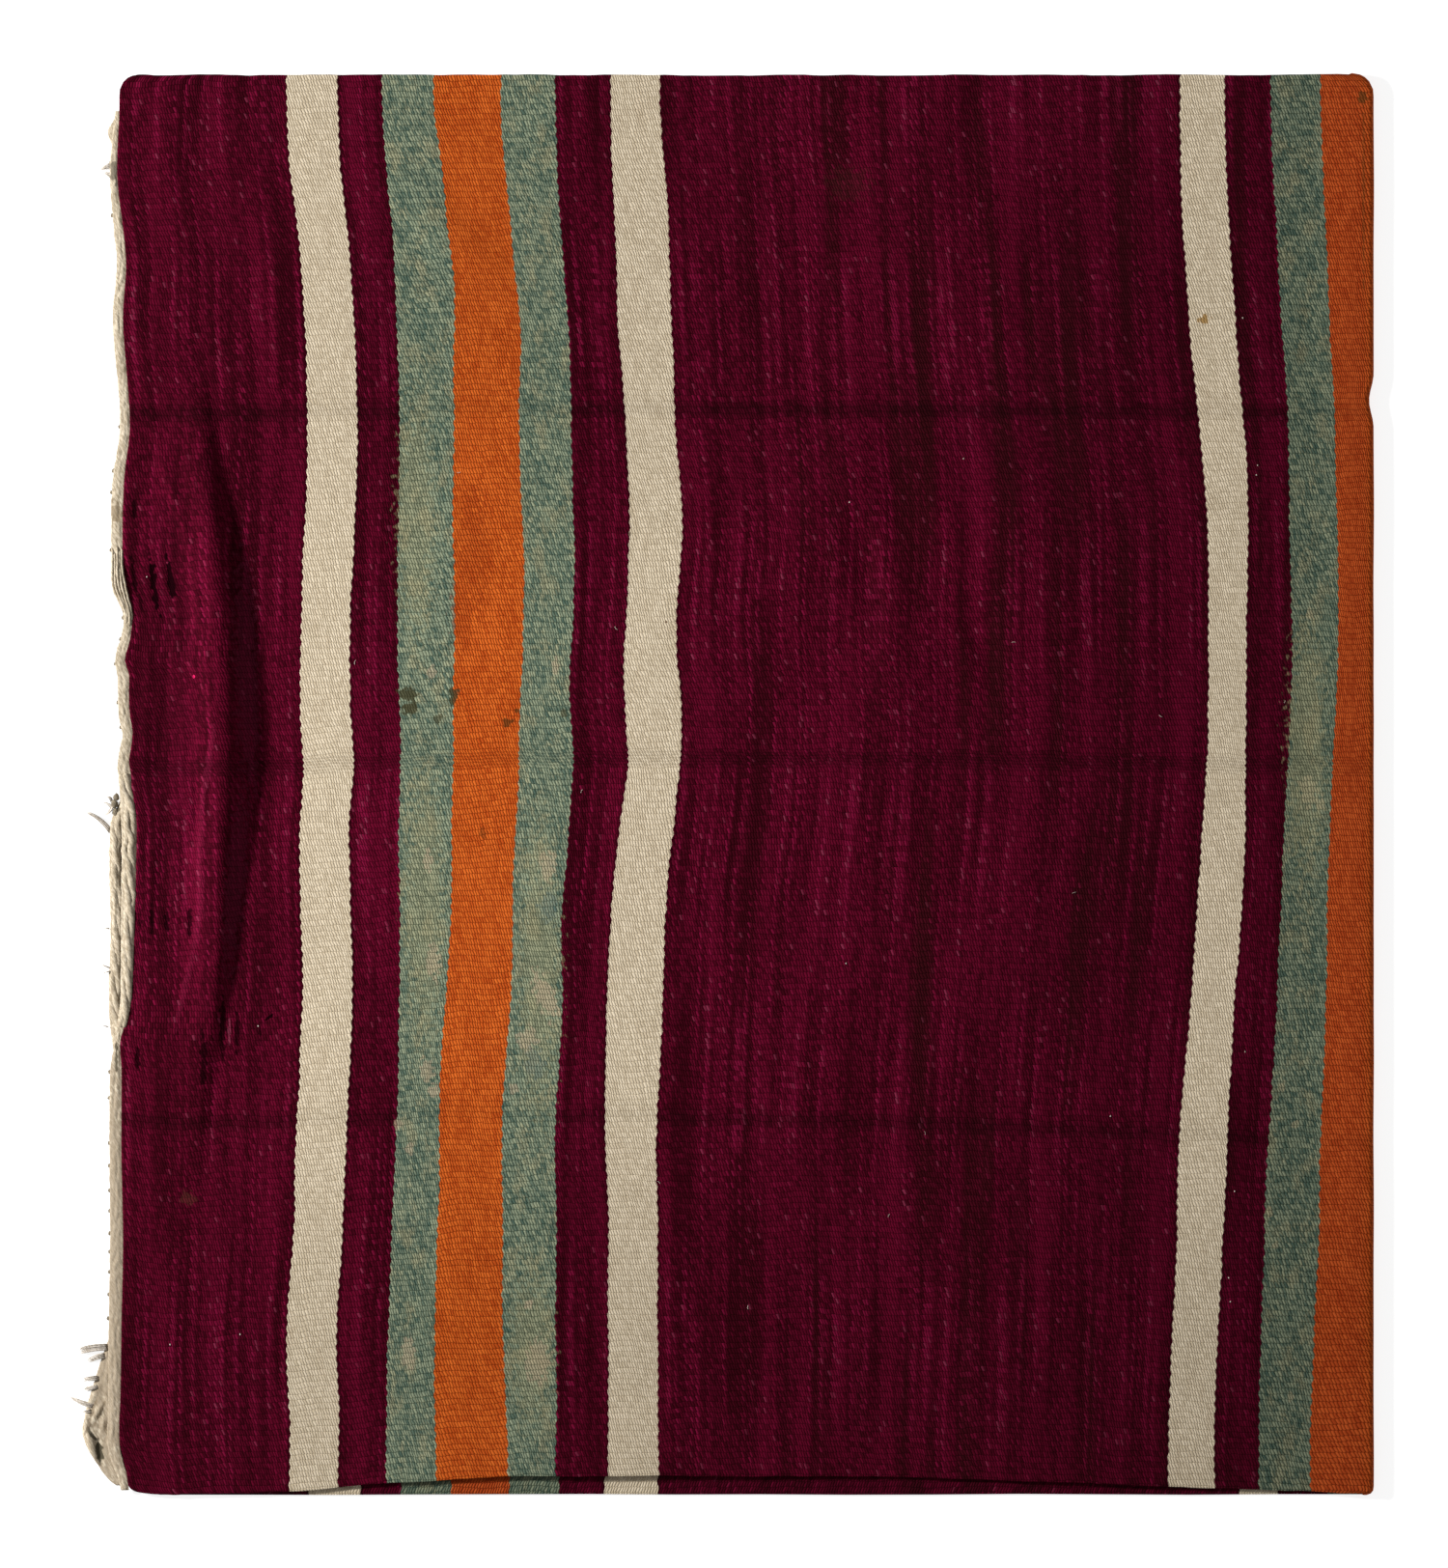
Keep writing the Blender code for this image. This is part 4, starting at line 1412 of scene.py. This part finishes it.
@dataclass(frozen=True)
class FrayedEnds:
    """The frayed ends, knots and lint."""

    locks: tuple[Lock, ...] = tuple(Lock(*row) for row in (
        ((9, 130), (38, 126), 5.5, 50, 1.5, 4.2), ((12, 123), (30, 117), 4.4, 30, 1.0, 2.6),
        ((18, 103), (34, 101), 3.8, 26, 0.6, 2.0), ((18, 95), (33, 92), 3.6, 26, 0.5, 2.0),
        ((22, 78), (45, 87), 4.4, 32, -1.2, 0.8), ((25, 74), (34, 73), 2.8, 12),
        ((8, 586), (33, 605), 4.0, 24, 3.0, 0.8), ((9, 501), (15, 501.5), 1.2, 5),
        ((9, 466), (16.5, 469), 1.3, 5), ((8, 463), (15, 461), 1.2, 5), ((10, 414), (17, 416), 1.2, 5),
        ((4, 1176), (18, 1172), 6.0, 18, 0.8, 0.2), ((4, 1166), (15, 1171), 5.0, 14, -0.5, 0.2),
        ((6, 606), (17, 612), 3.0, 8, 2.0), ((6, 610), (15, 601), 3.0, 8, -2.0),
        ((7, 613), (13, 618), 2.4, 6, 1.5),
    ))
    # Knots along the bands' outer edge, as up and radius, and others, as out, up and radius
    edge_knots: tuple[tuple[float, float], ...] = (
        (1132, 1.5), (945, 1.6), (906, 1.5), (887, 1.4), (836, 1.5), (776, 1.6), (757, 1.4), (735, 1.4),
        (701, 1.5), (679, 1.5), (374, 1.6), (351, 1.5), (311, 1.4), (291, 1.5), (269, 1.4), (251, 1.4),
        (231, 1.5), (215, 1.4), (197, 1.4), (177, 1.5), (156, 1.5),
    )
    knots: tuple[tuple[float, float, float], ...] = (
        (3.0, 617, 2.6), (4.5, 611, 3.2), (3.5, 604, 3.0),
        (8.0, 1178, 2.0), (6.0, 1168, 2.2),
    )
    hairs: tuple[tuple[float, float], ...] = (
        (209.5, 738.7), (920, 690), (793.4, 754), (843, 532), (680.6, 245), (713, 318), (556.6, 168),
        (478.8, 275), (438.6, 768.6), (410.4, 624), (302, 905), (1031, 700),
    )
    flecks: tuple[tuple[float, float], ...] = (
        (24.5, 812), (1007, 910.6), (1006, 902), (994, 1041), (996, 392), (986.7, 268.5), (981.5, 192),
        (983, 171), (123, 414.7), (747, 916.6), (643, 470), (877, 335), (646, 878), (107, 142), (45, 133),
    )
    hair_radius: float = 0.50 * MM
    lint_radius: float = 0.2 * MM
    fleck_radius: float = 0.55 * MM
    steps: int = 7

    def build(self, frayed: bpy.types.Material, knotted: bpy.types.Material) -> list[Piece]:
        """Build the locks, the knots and the lint.

        Args:
            frayed: The wool of frayed ends and lint.
            knotted: The wool of the knots.

        Returns:
            The pieces.
        """
        rng = random.Random(41)
        locks, knots, lint = bmesh.new(), bmesh.new(), bmesh.new()
        for lock in self.locks:
            for _ in range(lock.hairs):
                self._hair(locks, lock, rng)
        for up, radius in self.edge_knots:
            at = max(Profile.column(rows, "band").at(up * MM) - Profile.column(rows, "inset").at(up * MM)
                     for rows in (UPPER_END, LOWER_END))
            self._lump(knots, outside(at / MM + 0.1, up, 3.0), radius * MM, rng)
        for out, up, radius in self.knots:
            self._lump(knots, outside(out, up, 2.6 if up > 150 else 4.0), radius * MM, rng)
        for across, up in self.hairs:
            self._lint_hair(lint, across * MM, up * MM, rng)
        for across, up in self.flecks:
            height = FORM.upper_height(across * MM, up * MM) / MM + 1.5
            self._lump(lint, outside(-across, up, height), self.fleck_radius, rng)
        return [
            add_piece("frayed_locks", locks, frayed),
            add_piece("warp_knots", knots, knotted),
            add_piece("lint", lint, frayed),
        ]

    def _hair(self, bm: Mesh, lock: Lock, rng: random.Random) -> None:
        """Add one tapering hair of a lock.

        Args:
            bm: The mesh.
            lock: The lock.
            rng: The source of its irregularities.
        """
        side, level, length = rng.uniform(-0.5, 0.5), rng.uniform(0, 1), rng.uniform(0.72, 1.0)
        curl, turn = rng.uniform(0.1, 0.5), rng.uniform(0, math.tau)
        (out0, up0), (out1, up1) = lock.root, lock.tip
        reach = math.hypot(out1 - out0, up1 - up0)
        normal = (-(up1 - up0) / reach, (out1 - out0) / reach)
        path = []
        for k in range(self.steps + 1):
            t = length * k / self.steps
            wide = lock.width * (1 - t) ** 0.8 * (1 + 0.6 * t) + lock.tip_width * t
            aside = side * wide + lock.sag * 4 * t * (1 - t) + curl * t * math.sin(turn + 5 * t)
            height = 0.8 + 1.5 * level * (1 - 0.5 * t)
            height += 1.6 * math.sin(math.pi * min(t * 1.1, 1)) * (0.5 + level)
            path.append(outside(out0 + (out1 - out0) * t + normal[0] * aside,
                                up0 + (up1 - up0) * t + normal[1] * aside, height))
        radii = [self.hair_radius * (1.15 - 0.8 * k / self.steps) for k in range(self.steps + 1)]
        add_tube(bm, path, radii, 3)

    def _lump(self, bm: Mesh, place: Vector, radius: float, rng: random.Random) -> None:
        """Add one small uneven lump.

        Args:
            bm: The mesh.
            place: Its middle.
            radius: Its radius.
            rng: The source of its irregularities.
        """
        made = bmesh.ops.create_icosphere(bm, subdivisions=2, radius=radius)
        seed = rng.uniform(0, 50)
        for vertex in made["verts"]:
            uneven = 1 + 0.35 * noise.noise(vertex.co * (1.6 / radius) + Vector((seed, 0, 0)))
            vertex.co = Vector((vertex.co.x, vertex.co.y * 1.25, vertex.co.z * 0.75)) * uneven + place

    def _lint_hair(self, bm: Mesh, across: float, up: float, rng: random.Random) -> None:
        """Add one curved hair that lies on the cloth.

        Args:
            bm: The mesh.
            across: The distance across of its middle.
            up: The height of its middle.
            rng: The source of its way and curve.
        """
        heading, curve, length = rng.uniform(0, math.tau), rng.uniform(-0.9, 0.9), rng.uniform(3, 5.5) * MM
        path, x, y = [], across, up
        for _ in range(self.steps + 1):
            path.append(outside(-x / MM, y / MM, FORM.upper_height(x, y) / MM + 1.8))
            x += math.cos(heading) * length / self.steps
            y += math.sin(heading) * length / self.steps
            heading += curve / self.steps * 2
        add_tube(bm, path, [self.lint_radius] * (self.steps + 1), 3)


def placed(name: str, data: bpy.types.ID, location: tuple[float, float, float]) -> bpy.types.Object:
    """Place an object of the studio by its name, what it shows and where it stands."""
    item = bpy.data.objects.new(name, data)
    item.location = location
    bpy.context.scene.collection.objects.link(item)
    return item


@dataclass(frozen=True)
class Studio:
    """The camera, the soft key light at the upper left, the even pale fill and the floor."""

    view_height: float = 1388.5 * MM
    camera_height: float = 6.0
    sensor: float = 36.0
    key_place: tuple[float, float, float] = (-3.95, 0.85, 2.05)
    key_size: float = 0.5
    key_power: float = 346.0
    fill: float = 0.33
    floor_size: float = 6.0
    floor_grey: float = 0.42
    floor_glow: float = 0.80

    def build(self) -> None:
        """Build all of it."""
        self._camera()
        self._lights()
        self._floor()
        bpy.context.scene.view_settings.view_transform = "Standard"

    def _camera(self) -> None:
        """Set a camera straight above the blanket."""
        data = bpy.data.cameras.new("camera")
        data.sensor_width = self.sensor
        data.lens = self.sensor * self.camera_height / self.view_height
        data.clip_end = 50.0
        bpy.context.scene.camera = placed("camera", data, (0.0, 0.0, self.camera_height))

    def _lights(self) -> None:
        """Set the key light, which points at the blanket's middle, and the fill."""
        world = bpy.data.worlds.new("studio")
        world.use_nodes = True
        background = world.node_tree.nodes["Background"]
        background.inputs["Color"].default_value = (1.0, 1.0, 1.0, 1.0)
        background.inputs["Strength"].default_value = self.fill
        bpy.context.scene.world = world
        data = bpy.data.lights.new("key", "AREA")
        data.size = self.key_size
        data.energy = self.key_power
        turned = (-Vector(self.key_place)).to_track_quat("-Z", "Y")
        placed("key", data, self.key_place).rotation_euler = turned.to_euler()

    def _floor(self) -> None:
        """Lay a pale floor under the blanket."""
        bm = bmesh.new()
        bmesh.ops.create_grid(bm, x_segments=1, y_segments=1, size=self.floor_size)
        mesh = bpy.data.meshes.new("floor")
        bm.to_mesh(mesh)
        bm.free()
        material = bpy.data.materials.new("pale floor")
        material.use_nodes = True
        shader = material.node_tree.nodes["Principled BSDF"]
        grey, white = (*[self.floor_grey] * 3, 1.0), (1.0, 1.0, 1.0, 1.0)
        for name, value in (("Base Color", grey), ("Emission Color", white), ("Roughness", 0.9),
                            ("Emission Strength", self.floor_glow), ("Specular IOR Level", 0.1)):
            shader.inputs[name].default_value = value
        mesh.materials.append(material)
        placed("floor", mesh, (0.0, 0.0, -0.3 * MM))


def main() -> None:
    """Build the blanket and its studio."""
    logging.basicConfig(level=logging.INFO, format="%(message)s")
    Studio().build()
    wool = StripedWool().material()
    pieces = [StripedCloth().build(wool)]
    yarn = NaturalYarn(
        "natural yarn", (0.56, 0.48, 0.365), (0.28, 0.225, 0.150), (0.22, 0.170, 0.11), 0.55, BAND_MARKS)
    frayed = NaturalYarn("frayed wool", (0.66, 0.60, 0.53), (0.42, 0.36, 0.29), (0.34, 0.275, 0.20), 0.4)
    knotted = NaturalYarn("knotted wool", (0.24, 0.20, 0.14), (0.10, 0.080, 0.055), (0.06, 0.045, 0.03), 0.5)
    slack = ((838, 772), (836, 768), (840, 775), (834, 770), (837, 780))
    bands = (
        EndBand(Layer.UPPER, UPPER_END, 4 * MM, 1224 * MM, FORM.upper_z, (410, 640), slack=slack),
        EndBand(Layer.LOWER, LOWER_END, 8 * MM, 1232 * MM, 1.5 * MM, (380, 620), LOWER_WRINKLES),
    )
    for seed, band in enumerate(bands):
        yarns = band.build_yarns(yarn.material(), seed)
        pieces += [yarns, band.build_cloth(yarns.data.materials[0], [yarns])]
    pieces += FrayedEnds().build(frayed.material(), knotted.material())
    for piece in pieces:
        LOG.info("%s: %d faces", piece.name, len(piece.data.polygons))


if __name__ == "__main__":
    main()
